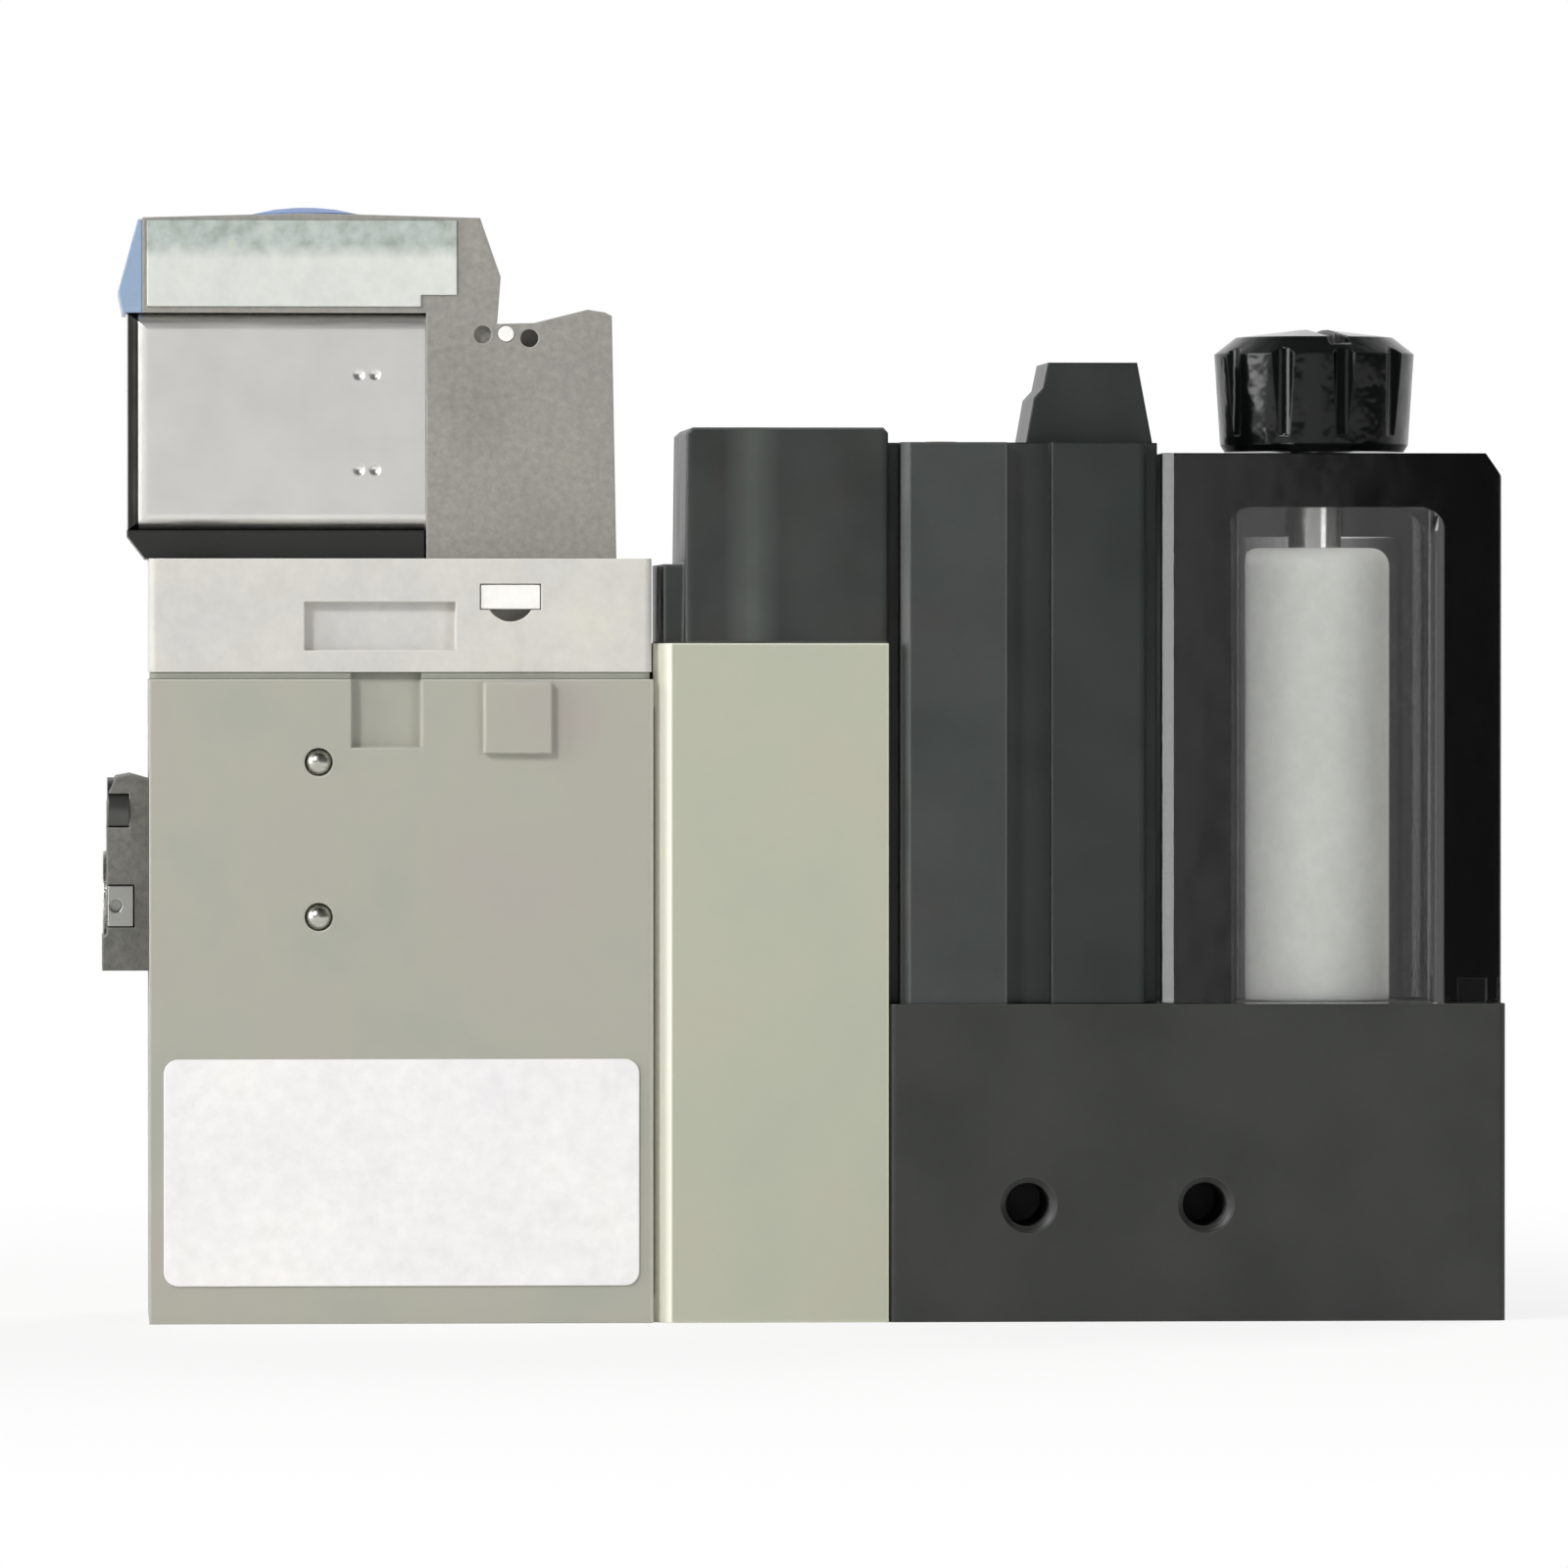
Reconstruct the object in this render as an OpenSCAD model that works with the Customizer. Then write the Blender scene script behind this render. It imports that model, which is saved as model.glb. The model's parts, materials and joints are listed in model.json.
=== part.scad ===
// Compact vacuum ejector unit: valve block with solenoid pilot valve, ejector block with silencer,
// and a base that carries a vacuum switch and a clear suction filter. Millimetres, +Z up.
// Origin: centre of the bounding box in X and Y, on the bottom face. The front face looks along -Y.

/* [Block stack] */
// Depth of the stacked blocks, front to back
unit_w = 15.5; // [15.4:0.1:17]
// Length of the valve block
valve_l = 28; // [28:0.1:32]
// Height of the valve body
valve_h = 35.8; // [35.5:0.1:38]
// Height of the cap on the valve body
cap_h = 6.3; // [6:0.1:8]
// Length of the ejector block
ejector_l = 13.1; // [12.6:0.1:15]
// Height of the ejector block
ejector_h = 37.8; // [37.5:0.1:40]
// Chamfer down the ejector block's left edges
edge_cut = 1; // [0.3:0.1:1]
// Length of the base
base_l = 34.5; // [34.3:0.1:38]
// Height of the base
base_h = 17.7; // [17.5:0.1:20]
// Radius of the blocks' upright corners
corner_r = 0.4; // [0.2:0.1:0.6]
// Thickness of the cap gasket and the joint gasket
gasket_t = 0.4; // [0.3:0.1:0.6]

/* [Ports and valves] */
// Thickness of the port block on the left end
port_t = 2.6; // [2.4:0.1:3.4]
// Height of the port block
port_h = 10.9; // [10.7:0.1:13]
// Width of the port block, front to back
port_w = 13; // [12.8:0.1:14.5]
// Height of the supply port's axis
port_z = 23.2; // [22.8:0.1:23.6]
// Minor radius of the M5 ports
port_thread_r = 2.1; // [1.9:0.05:2.15]
// Outer radius of the supply port bush
bush_r = 3; // [2.9:0.05:3.1]
// Radius of the supply spool's bore
spool_r = 4; // [3.8:0.05:4.2]
// Height of the supply spool's axis
spool_z = 9.5; // [9.3:0.1:9.9]
// Travel of the supply spool
spool_stroke = 1.5; // [1:0.1:2]
// Radius of the release valve's bore
release_r = 3; // [2.8:0.05:3.2]
// Travel of the release valve
release_stroke = 1; // [0.6:0.1:1.4]
// Radius of the release needle's shank
needle_r = 1.25; // [1.2:0.01:1.3]
// Radius of the pressed-in balls that close the cross drillings
ball_r = 0.75; // [0.6:0.05:0.85]

/* [Ejector] */
// Radius of the nozzle's barrel
nozzle_r = 2.5; // [2.4:0.05:2.6]
// Throat radius of the nozzle
nozzle_throat_r = 0.5; // [0.35:0.05:0.65]
// Radius of the diffuser's barrel
diffuser_r = 3; // [2.9:0.05:3.1]
// Throat radius of the diffuser
diffuser_throat_r = 0.9; // [0.7:0.05:1.2]
// Height of the silencer cover
silencer_h = 12; // [11:0.1:15]
// Wall of the silencer cover
silencer_wall = 1.1; // [0.9:0.1:1.4]
// Number of exhaust slots in the silencer cover
slot_count = 5; // [3:1:6]

/* [Pilot valve] */
// Depth of the pilot valve, front to back
pilot_w = 10; // [9.8:0.1:11]
// Distance from the valve block's left face to the solenoid's axis
pilot_x = 8.8; // [8.7:0.1:9]
// Thickness of the interface plate under the solenoid
plate_t = 1.6; // [1.5:0.1:2]
// Height of the solenoid can
can_h = 12.05; // [12:0.05:13]
// Wall of the solenoid can
can_wall = 0.4; // [0.3:0.05:0.45]
// Height of the arm over the can
arm_h = 5.3; // [5.2:0.1:6.5]
// Travel of the armature
armature_stroke = 0.4; // [0.3:0.05:0.4]
// Radius of the armature
armature_r = 1.92; // [1.8:0.02:1.94]
// Radius of the override button's head
override_r = 2.95; // [2.6:0.05:3]

/* [Vacuum switch] */
// Length of the switch housing
switch_l = 13.7; // [13.5:0.1:14]
// Depth of the switch and of the filter case, front to back
module_w = 15; // [14.9:0.1:15.4]
// Height of the switch housing
switch_h = 31.3; // [30:0.1:34]
// Wall of the switch housing
switch_wall = 1.3; // [1:0.1:1.5]
// Thickness of the rear lid
lid_t = 1.1; // [0.9:0.1:1.4]
// Height of the connector socket above the housing
socket_h = 4.5; // [4:0.1:6]

/* [Suction filter] */
// Length of the filter case
case_l = 19; // [18.8:0.1:19.2]
// Height of the filter case
case_h = 30.7; // [29.5:0.1:34]
// Half the length of the case's hollow
hollow_half = 6.25; // [6.1:0.05:6.3]
// Front wall of the filter case
case_front = 0.8; // [0.75:0.05:0.9]
// Radius of the filter element
element_r = 4.2; // [4:0.05:4.4]
// Head room over the filter element
element_gap = 2.3; // [1.6:0.1:3]
// Radius of the knob
knob_r = 5.65; // [5.2:0.05:6]
// Height of the knob
knob_h = 6.9; // [6:0.1:8]
// Number of flutes round the knob
flute_count = 10; // [8:1:12]
// Radius of the tension bolt
bolt_r = 1.5; // [1.4:0.02:1.55]
// Rise of the knob when it is undone
knob_rise = 4; // [3:0.5:4]

/* [Fixings] */
// Radius of the M3 fixing holes in the front and the rear of the base
fix_hole_r = 1.55; // [1.5:0.05:1.7]
// Depth of the tapped fixing holes in the front face
fix_depth = 9; // [8:0.5:10]
// Distance between the two fixing holes
fix_pitch = 9.9; // [9.8:0.1:10.4]
// Height of the fixing holes
fix_z = 6.5; // [6:0.1:6.7]
// Shank radius of the tie screws
tie_r = 1.25; // [1.15:0.05:1.3]
// Shank radius of the small screws
small_r = 1; // [0.9:0.05:1.05]
// Radial gap between a screw and a hole that it passes through
pass_gap = 0.1; // [0.06:0.01:0.12]
// Radial gap of parts that are pressed or screwed in
fit_gap = 0.03; // [0.02:0.01:0.04]
// Radial gap of parts that slide or turn
slide_gap = 0.05; // [0.03:0.01:0.06]

/* [Hidden] */
$fn = 64;

// Faces and axes of the stack
eps = 0.01;
front_y = -unit_w / 2;
x_left = -(port_t + valve_l + ejector_l + base_l) / 2;
x_valve = x_left + port_t;
x_eject = x_valve + valve_l;
x_base = x_eject + ejector_l;
x_end = x_base + base_l;
cap_z = valve_h + gasket_t;
pilot_z = cap_z + cap_h;

// Screws: head sizes, and the heights of the long screws through the valve block
screw_head_r = 1.75 * small_r;
screw_head_h = 1.2 * small_r;
screw_l = 6;
tie_head_r = 1.7 * tie_r;
tie_head_h = 1.8 * tie_r;
tie_thread = 6;
tie_y = unit_w / 2 - tie_head_r - 0.65;
tie_low_z = 4.2;
tie_high_z = spool_z + 4.1;
joint_z = valve_h - tie_head_r - 0.6;

// Port block, needle and valves
port_low_z = port_z - bush_r - 0.6;
port_top_z = port_low_z + port_h;
needle_z = port_top_z - 2;
port_screw_y = port_w / 2 - screw_head_r + 0.15;
needle_head_r = needle_r + 0.25;
needle_pitch = 0.45;
spool_x = x_valve + 4.2;
spool_l = 17;
spool_pocket = 3;
spool_nose = 1.5;
spool_seal_at = [3.25, spool_l - 4.75];
supply_x = spool_x + 6.8;
outlet_x = spool_x + 11;
outlet_z = 3.2;
outlet_r = 1.1;
release_x = x_valve + 17.5;
release_l = 5.5;
release_pocket = 2.5;
ball_x = x_valve + 9.4;
ball_low_z = port_z - 0.6;
ball_high_z = valve_h - 4.6;

// Front details of the valve block
label_t = 0.12;
label_margin = 0.8;
label_low_z = 2.1;
label_h = 12.6;
channel_x = x_valve + 11.2;
channel_l = 3.9;
channel_low_z = valve_h - 3.8;
channel_depth = 0.7;
pad_t = 0.5;
pad_l = 3.7;
pad_h = 4.1;
recess_x = x_valve + 8.6;
recess_l = 8.4;
recess_h = 2.7;
recess_depth = 0.7;
joint_cut = 0.2;
window_x = x_valve + 20.05;
window_z = cap_z + 3.45;
cap_screw_at = [[x_valve + 3, -unit_w / 2 + 2.95], [x_eject - 2.3, 0]];

// Ejector block
eject_axis = x_eject + ejector_l / 2;
vacuum_z = 15.9;
vacuum_r = 1;
nozzle_low_z = 6;
nozzle_step_z = 13.5;
nozzle_tip_z = nozzle_step_z + 4.1;
diffuser_low_z = nozzle_tip_z + 0.8;
diffuser_flange_r = diffuser_r + 0.85;
silencer_l = ejector_l - 1.7;
silencer_x = x_base - silencer_l;
silencer_screw_at = [[silencer_x + 2.6, -5], [silencer_x + silencer_l - 2.6, 5]];
silencer_screw_l = silencer_h + 3;

// O-ring cords and their seats
seal_cord = 0.36;
small_cord = 0.25;
seat_half = seal_cord + 0.09;
nozzle_seal_z = nozzle_low_z + 3;
diffuser_seal_z = ejector_h - 7.8;
bush_seal_u = 6.02;

// Pilot valve
can_x = x_valve - 1.25;
can_l = 16.7;
column_x = can_x + can_l;
column_l = 10.55;
solenoid_x = x_valve + pilot_x;
can_z = pilot_z + plate_t;
arm_z = can_z + can_h + 0.05;
arm_top_z = arm_z + arm_h;
foot_h = 3.75;
foot_z = can_z + can_wall + fit_gap;
seat_z = foot_z + 2.45;
bobbin_z = foot_z + foot_h + fit_gap;
bobbin_top_z = can_z + can_h - can_wall - fit_gap;
bobbin_flange = 0.7;
core_top_z = bobbin_z + 3;
rod_r = 0.4;
poppet_r = 1.6;
poppet_t = 1;
chamber_r = poppet_r + 0.5;
armature_z = core_top_z + armature_stroke + 0.05;
armature_top_z = bobbin_top_z - 0.4;
stem_r = 1;
override_seat_z = arm_z + 2.2;
override_low_z = override_seat_z + armature_stroke + 0.4;
override_gap = 0.06;
pilot_screw_x = column_x + 1.35;
pilot_screw_y = 2.9;
plug_x = column_x + 5.25;
plug_l = 3.8;
plug_w = 6.6;
plug_floor_z = pilot_z + 5;
pin_w = 0.6;

// Base
switch_x = x_base + 0.7;
// Ribs that close the gaps beside the switch, set back from its front
gap_rib_l = 0.8;
gap_rib_y = -5;
gap_rib_w = 2.5;
// Flats along the upright front left edges
front_cut = 0.5;
case_cut = 0.65;
case_x = switch_x + switch_l + gap_rib_l + pass_gap;
filter_x = case_x + case_l / 2 - 0.3;
hollow_x = filter_x + 0.55;
fix_x = x_base + 7.8;
duct_z = fix_z + fix_hole_r + 1.7;
duct_r = 0.9;
check_x = x_base + 4.6;
check_r = 2.8;
check_seat_z = duct_z + duct_r + 0.8;
check_t = 0.8;
check_lift = 0.8;
sense_x = x_base + 9;
insert_r = bolt_r + 0.8;
insert_z = 2;
insert_h = 6.2;
inlet_x = filter_x + (element_r + hollow_half) / 2;
inlet_y = -1.2;
inlet_z = 9;
case_seal_gap = 0.15;
case_seal_w = 0.5;
case_seal_h = 0.7;

// Vacuum switch
switch_top_z = base_h + switch_h;
switch_roof = 3.5;
groove_x = switch_x + 5.9;
groove_l = 2.5;
groove_depth = 1.2;
tab_x = switch_x + 7.2;
tab_l = switch_l - 6.6;
tab_w = 8.4;
board_y = 1.6;
board_t = 0.8;
switch_screw_at = [[switch_x + 11.6, -4.3], [switch_x + 11.6, 4.3]];
boss_h = 4;
sensor_z = base_h + switch_wall + boss_h + 0.3;
sensor_l = 6;
trimmer_x = switch_x + 3;
trimmer_r = 1.5;
lens_r = 0.9;
lens_y = 4;

// Suction filter
case_top_z = base_h + case_h;
case_roof = 3;
hollow_front = module_w / 2 - case_front;
hollow_rear = element_r + 0.8;
element_h = case_h - case_roof - element_gap;
key_l = 1.5;
knob_gap = 0.15;
knob_turned = 12;
knob_z = case_top_z + knob_gap;
knob_cord = 0.45;
knob_seal_r = bolt_r + knob_cord + 0.03;
knob_seat_depth = 0.8;

// ---- Shared shapes ----

// Cutter for a flat along an upright edge that faces -X and -Y, three quarters as deep as it is wide
module edge_flat(w, h) {
    linear_extrude(h) polygon([[-w, 1.5 * w], [2 * w, -0.75 * w], [-w, -0.75 * w]]);
}

// Rectangle with round corners, centred
module rrect(l, w, r) {
    square([l - 2 * r, w], center = true);
    square([l, w - 2 * r], center = true);
    for (x = [-1, 1], y = [-1, 1])
        translate([x * (l / 2 - r), y * (w / 2 - r)]) circle(r);
}

// Upright block that starts at x = 0 and is centred front to back
module block(l, w, h, r = corner_r) {
    translate([l / 2, 0, 0]) linear_extrude(h) rrect(l, w, r);
}

// Plain box that starts at x = 0 and is centred front to back
module box(l, w, h) {
    translate([0, -w / 2, 0]) cube([l, w, h]);
}

// Round bar along +X and +Y
module x_rod(r, l) { rotate([0, 90, 0]) cylinder(r = r, h = l); }
module y_rod(r, l) { rotate([-90, 0, 0]) cylinder(r = r, h = l); }

// Outline given in X and Z, centred front to back
module side_plate(w, outline) {
    translate([0, w / 2, 0]) rotate([90, 0, 0]) linear_extrude(w) polygon(outline);
}

// Turned part along +X from an outline of [distance, radius] points
module turned_x(outline) {
    rotate([0, 90, 0]) rotate_extrude() polygon([for (p = outline) [p[1], p[0]]]);
}

// Turned part along +Z from an outline of [height, radius] points
module turned_z(outline) {
    rotate_extrude() polygon([for (p = outline) [p[1], p[0]]]);
}

module o_ring(r, cord) { rotate_extrude() translate([r, 0]) circle(cord); }
module o_ring_x(r, cord) { rotate([0, 90, 0]) o_ring(r, cord); }

// Screw with its point downwards: under-head face at z = 0, slotted pan head above
module screw(r, l, head_r, head_h) {
    translate([0, 0, -l]) cylinder(r = r, h = l);
    difference() {
        cylinder(r = head_r, h = head_h);
        translate([-head_r, -head_r / 8, head_h / 2]) cube([2 * head_r, head_r / 4, head_h]);
    }
}

// Coil spring along +Z, made of a round wire
function coil_point(i, k, steps, sides, r, wire, l, turns) =
    let (a = 360 * turns * i / steps, b = 360 * k / sides, c = r + wire * cos(b))
    [c * cos(a), c * sin(a), wire + (l - 2 * wire) * i / steps + wire * sin(b)];
module coil_spring(r, wire, l, turns) {
    sides = 6;
    steps = round(12 * turns);
    side_faces = [for (i = [0:steps - 1], k = [0:sides - 1])
        let (a = i * sides + k, b = i * sides + (k + 1) % sides)
        each [[a, a + sides, b], [b, a + sides, b + sides]]];
    end_faces = [[for (k = [0:sides - 1]) k], [for (k = [sides - 1:-1:0]) steps * sides + k]];
    polyhedron([for (i = [0:steps], k = [0:sides - 1]) coil_point(i, k, steps, sides, r, wire, l, turns)],
               concat(side_faces, end_faces));
}

// ---- Valve block ----

// Recessed channel and raised pad, drawn on the front and mirrored to the rear
module front_and_rear() {
    children();
    mirror([0, 1, 0]) children();
}

module long_screw_holes(x, l) {
    for (p = [[-tie_y, tie_low_z], [tie_y, tie_high_z]])
        translate([x, p[0], p[1]]) x_rod(tie_r + pass_gap, l);
}

module valve_body() {
    color("#aeaea1") difference() {
        union() {
            translate([x_valve, 0, 0]) linear_extrude(valve_h) polygon([
                [0, -unit_w / 2], [valve_l - joint_cut, -unit_w / 2], [valve_l, -unit_w / 2 + joint_cut],
                [valve_l, unit_w / 2 - joint_cut], [valve_l - joint_cut, unit_w / 2], [0, unit_w / 2]]);
            front_and_rear() translate([window_x + 0.4 - pad_l / 2, front_y - pad_t, valve_h - pad_h])
                cube([pad_l, pad_t + eps, pad_h - 0.2]);
        }
        front_and_rear() translate([channel_x, front_y - 1, channel_low_z])
            cube([channel_l, 1 + channel_depth, 5]);
        // Supply port and its duct down to the spool
        translate([x_valve - 1, 0, port_z]) x_rod(bush_r + fit_gap, 6);
        translate([x_valve + 4, 0, port_z]) x_rod(1.5, supply_x + 1.2 - x_valve - 4);
        translate([supply_x, 0, spool_z]) cylinder(r = 1.2, h = port_z - spool_z);
        // Supply spool and the outlet to the ejector
        translate([spool_x, 0, spool_z]) x_rod(spool_r, valve_l);
        translate([outlet_x, 0, outlet_z]) x_rod(outlet_r, valve_l);
        translate([outlet_x, 0, outlet_z]) cylinder(r = 1, h = spool_z - outlet_z);
        // Release needle, its orifice and the release valve
        translate([x_valve - 1, 0, needle_z]) x_rod(needle_r + slide_gap, 9.5);
        translate([x_valve + 8, 0, needle_z]) x_rod(0.5, 4);
        translate([x_valve + 11.5, 0, needle_z]) x_rod(0.9, 7);
        translate([release_x, 0, needle_z]) x_rod(release_r, valve_l);
        // Pilot ducts, and the cross drillings that the balls close
        translate([ball_x, 0, ball_high_z - 0.6]) cylinder(r = 0.6, h = 10);
        translate([spool_x + 0.7, 2.6, spool_z + 2.2]) cylinder(r = 0.6, h = valve_h);
        for (z = [ball_low_z, ball_high_z]) translate([ball_x, front_y - 1, z]) {
            y_rod(ball_r + fit_gap, 1 + ball_r * 1.6 + fit_gap);
            y_rod(0.5, 1 - front_y);
        }
        // Long screws and small screws
        long_screw_holes(x_valve - 1, valve_l + 2);
        for (p = [[-tie_y, tie_low_z], [tie_y, tie_high_z], [tie_y, joint_z]])
            translate([x_valve - 1, p[0], p[1]]) x_rod(tie_head_r + pass_gap, 1 + tie_head_h + 0.3);
        translate([x_valve - 1, tie_y, joint_z]) x_rod(tie_r + pass_gap, valve_l + 2);
        for (y = [-1, 1]) translate([x_valve - 1, y * port_screw_y, needle_z])
            x_rod(small_r + fit_gap, 1 + screw_l);
        for (p = cap_screw_at) translate([p[0], p[1], valve_h - screw_l + 2.3])
            cylinder(r = small_r + fit_gap, h = screw_l);
    }
}

module valve_cap() {
    color("#d6d5cd") difference() {
        translate([x_valve, 0, cap_z]) block(valve_l - 0.1, unit_w, cap_h);
        // Shallow recess and the latch window in the front and rear faces
        front_and_rear() {
            translate([recess_x, front_y - 1, cap_z + 1.2]) cube([recess_l, 1 + recess_depth, recess_h]);
            translate([window_x - 1.7, front_y - 1, window_z]) cube([3.4, 2.4, 1.45]);
            translate([window_x, front_y - 1, window_z + 0.7]) intersection() {
                y_rod(1.35, 3);
                translate([-2, 0, -2]) cube([4, 4, 2]);
            }
            translate([window_x - 0.9, front_y + 1, window_z + 0.3]) cube([1.8, 2, 0.85]);
        }
        // Screws that hold the cap, sunk under the pilot valve
        for (p = cap_screw_at) translate([p[0], p[1], cap_z - 1]) {
            cylinder(r = small_r + pass_gap, h = cap_h);
            translate([0, 0, 3.3]) cylinder(r = screw_head_r + pass_gap, h = cap_h);
        }
        // Screws of the pilot valve, pilot ducts and the groove between them
        for (y = [-1, 1]) translate([pilot_screw_x, y * pilot_screw_y, pilot_z - 4.5])
            cylinder(r = small_r + fit_gap, h = 5);
        translate([ball_x + 3.2, 0, cap_z - 1]) cylinder(r = 0.6, h = cap_h + 2);
        translate([ball_x, 0, cap_z - 1]) box(3.2, 1.2, 1.8);
        translate([spool_x + 0.7, 2.6, cap_z - 1]) cylinder(r = 0.6, h = cap_h + 2);
    }
}

module cap_gasket() {
    inset = 0.1;
    color("#5c5e55") difference() {
        translate([x_valve + inset, 0, valve_h])
            block(valve_l - 2 * inset - 0.1, unit_w - 2 * inset, gasket_t);
        for (p = cap_screw_at) translate([p[0], p[1], valve_h - 1]) cylinder(r = small_r + pass_gap, h = 3);
        translate([ball_x, 0, valve_h - 1]) cylinder(r = 0.7, h = 3);
        translate([spool_x + 0.7, 2.6, valve_h - 1]) cylinder(r = 0.7, h = 3);
        front_and_rear() translate([channel_x, front_y - 1, valve_h - 1])
            cube([channel_l, 1 + channel_depth, 3]);
    }
}

module cap_latch() {
    color("#f4f2ee") front_and_rear() {
        translate([window_x - 1.65, front_y + 0.1, window_z + 0.05]) cube([3.3, 1.2, 1.35]);
        translate([window_x - 0.8, front_y + 1.3 - eps, window_z + 0.35]) cube([1.6, 1.6, 0.75]);
    }
}

module name_label() {
    color("#f1eff0") translate([x_valve + valve_l / 2, front_y, label_low_z + label_h / 2])
        rotate([90, 0, 0]) linear_extrude(label_t) rrect(valve_l - 2 * label_margin, label_h, 0.8);
}

module ball_plugs() {
    color("#c9c8c4") for (z = [ball_low_z, ball_high_z])
        translate([ball_x, front_y + ball_r * 0.6, z]) sphere(ball_r);
}

module small_screw() { screw(small_r, screw_l - 0.3, screw_head_r, screw_head_h); }
module small_screws() {
    color("#a9a9a6") {
        for (p = cap_screw_at) translate([p[0], p[1], cap_z + 2.3]) small_screw();
        for (y = [-1, 1]) translate([x_left + 1.5, y * port_screw_y, needle_z])
            rotate([0, -90, 0]) small_screw();
        for (p = switch_screw_at) translate([p[0], p[1], 1.5]) rotate([180, 0, 0]) small_screw();
    }
}

module spool() {
    land = spool_r - slide_gap;
    groove = land - 2 * seal_cord - 0.05;
    waist = spool_r * 0.55;
    waist_u = supply_x - spool_x - 1.8;
    half = seat_half;
    a = spool_seal_at[0];
    b = spool_seal_at[1];
    color("#b8b9bb") translate([spool_x + 0.1, 0, spool_z]) difference() {
        turned_x([[0, 0], [0, 1.6], [spool_nose, 1.6], [spool_nose, land],
                  [a - half, land], [a - half, groove], [a + half, groove], [a + half, land],
                  [waist_u, land], [waist_u, waist], [waist_u + 4, waist], [waist_u + 4, land],
                  [b - half, land], [b - half, groove], [b + half, groove], [b + half, land],
                  [spool_l, land], [spool_l, 0]]);
        translate([spool_l - spool_pocket, 0, 0]) x_rod(spool_r * 0.65, spool_pocket + 1);
    }
}

module spool_seals() {
    color("#1c1c1c") for (u = spool_seal_at) translate([spool_x + 0.1 + u, 0, spool_z])
        o_ring_x(spool_r - slide_gap - seal_cord - 0.01, seal_cord);
}

module spool_spring() {
    start = spool_x + 0.1 + spool_l - spool_pocket + 0.03;
    color("#c4c6c8") translate([start, 0, spool_z]) rotate([0, 90, 0])
        coil_spring(spool_r * 0.5, 0.25, x_eject - start - 0.03, 6);
}

module release_poppet() {
    land = release_r - slide_gap;
    color("#c9a64e") translate([release_x + 0.1, 0, needle_z]) difference() {
        turned_x([[0, 0], [0, 1.5], [1.2, 1.5], [1.2, land], [release_l, land], [release_l, 0]]);
        translate([release_l - release_pocket, 0, 0]) x_rod(release_r * 0.68, release_pocket + 1);
    }
}

module release_spring() {
    start = release_x + 0.1 + release_l - release_pocket + 0.03;
    color("#c4c6c8") translate([start, 0, needle_z]) rotate([0, 90, 0])
        coil_spring(release_r * 0.52, 0.2, x_eject - start - 0.03, 5);
}

module port_block() {
    step = 0.25;
    color("#65645f") difference() {
        translate([x_left, 0, port_low_z]) side_plate(port_w, [[0, 0], [port_t, 0], [port_t, port_h - 0.3],
            [port_t * 0.6, port_h], [step + 0.5, port_h - 0.15], [step + 0.1, port_h - 1],
            [step, port_h - 1.6], [step, 2], [0, 1.8]]);
        translate([x_left - 1, 0, port_z]) x_rod(bush_r + fit_gap, port_t + 2);
        translate([x_left - 1, 0, 0]) clip_shape(1.8, 0.08);
        translate([x_left - 1, 0, needle_z]) {
            x_rod(needle_head_r + 0.15, 1 + 1.6);
            x_rod(needle_r + slide_gap, port_t + 2);
        }
        for (y = [-1, 1]) translate([x_left - 1, y * port_screw_y, needle_z]) {
            x_rod(screw_head_r + pass_gap, 1 + 1.5);
            x_rod(small_r + pass_gap, port_t + 2);
        }
    }
}

// Fork that holds the port bush: a ring round the bush with a tab that reaches the front face
module clip_shape(end, grow) {
    translate([0, 0, port_z]) rotate([0, 90, 0]) linear_extrude(end + 1) {
        circle(bush_r + 0.3 + grow);
        translate([-1.12 - grow, -port_w / 2 - 0.1 - grow]) square([2.24 + 2 * grow, port_w / 2]);
    }
}

module bush_clip() {
    color("#b4b4ae") difference() {
        translate([x_left + 0.3 - 1 + eps, 0, 0]) clip_shape(1.4, 0);
        translate([x_left - 2, -20, 0]) cube([2.3, 40, 60]);
        translate([x_left - 1, 0, port_z]) x_rod(bush_r - 0.47, port_t + 2);
        translate([x_left - 1, 0, port_z - bush_r + 0.47]) cube([port_t + 2, 20, 2 * bush_r - 0.94]);
        translate([x_left + 0.75, -port_w / 2 - 1, port_z]) y_rod(0.35, 1.8);
    }
}

module port_bush() {
    outer = bush_r - fit_gap;
    groove = bush_r - 0.5;
    cord_seat = outer - 2 * seal_cord - 0.05;
    duct = port_thread_r * 0.66;
    low = bush_seal_u - seat_half;
    color("#c2c1bc") translate([x_left + 0.05, 0, port_z]) difference() {
        turned_x([[0, 0], [0, outer], [0.2, outer], [0.2, groove], [1.75, groove], [1.75, outer],
                  [low, outer], [low, cord_seat], [low + 2 * seat_half, cord_seat],
                  [low + 2 * seat_half, outer], [7, outer], [7, 0]]);
        translate([-1, 0, 0]) x_rod(port_thread_r, 1 + 5.2);
        translate([-1, 0, 0]) x_rod(duct, 9);
    }
}

module release_needle() {
    groove = needle_r - 2 * 0.2 - 0.03;
    color("#c8a850") translate([x_left + 0.4, 0, needle_z]) difference() {
        turned_x([[0, 0], [0, needle_head_r], [0.9, needle_head_r], [0.9, needle_r], [5, needle_r],
                  [5, groove], [5.5, groove], [5.5, needle_r], [8, needle_r], [8.6, 0.9],
                  [port_t + 8.9, 0.12], [port_t + 8.9, 0]]);
        translate([-1, -needle_head_r - 1, -0.2]) cube([1.45, 2 * needle_head_r + 2, 0.4]);
    }
}

module needle_seal() {
    cord = 0.2;
    color("#1c1c1c") translate([x_left + 0.4 + 5.25, 0, needle_z])
        o_ring_x(needle_r - cord - 0.01, cord);
}

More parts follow.
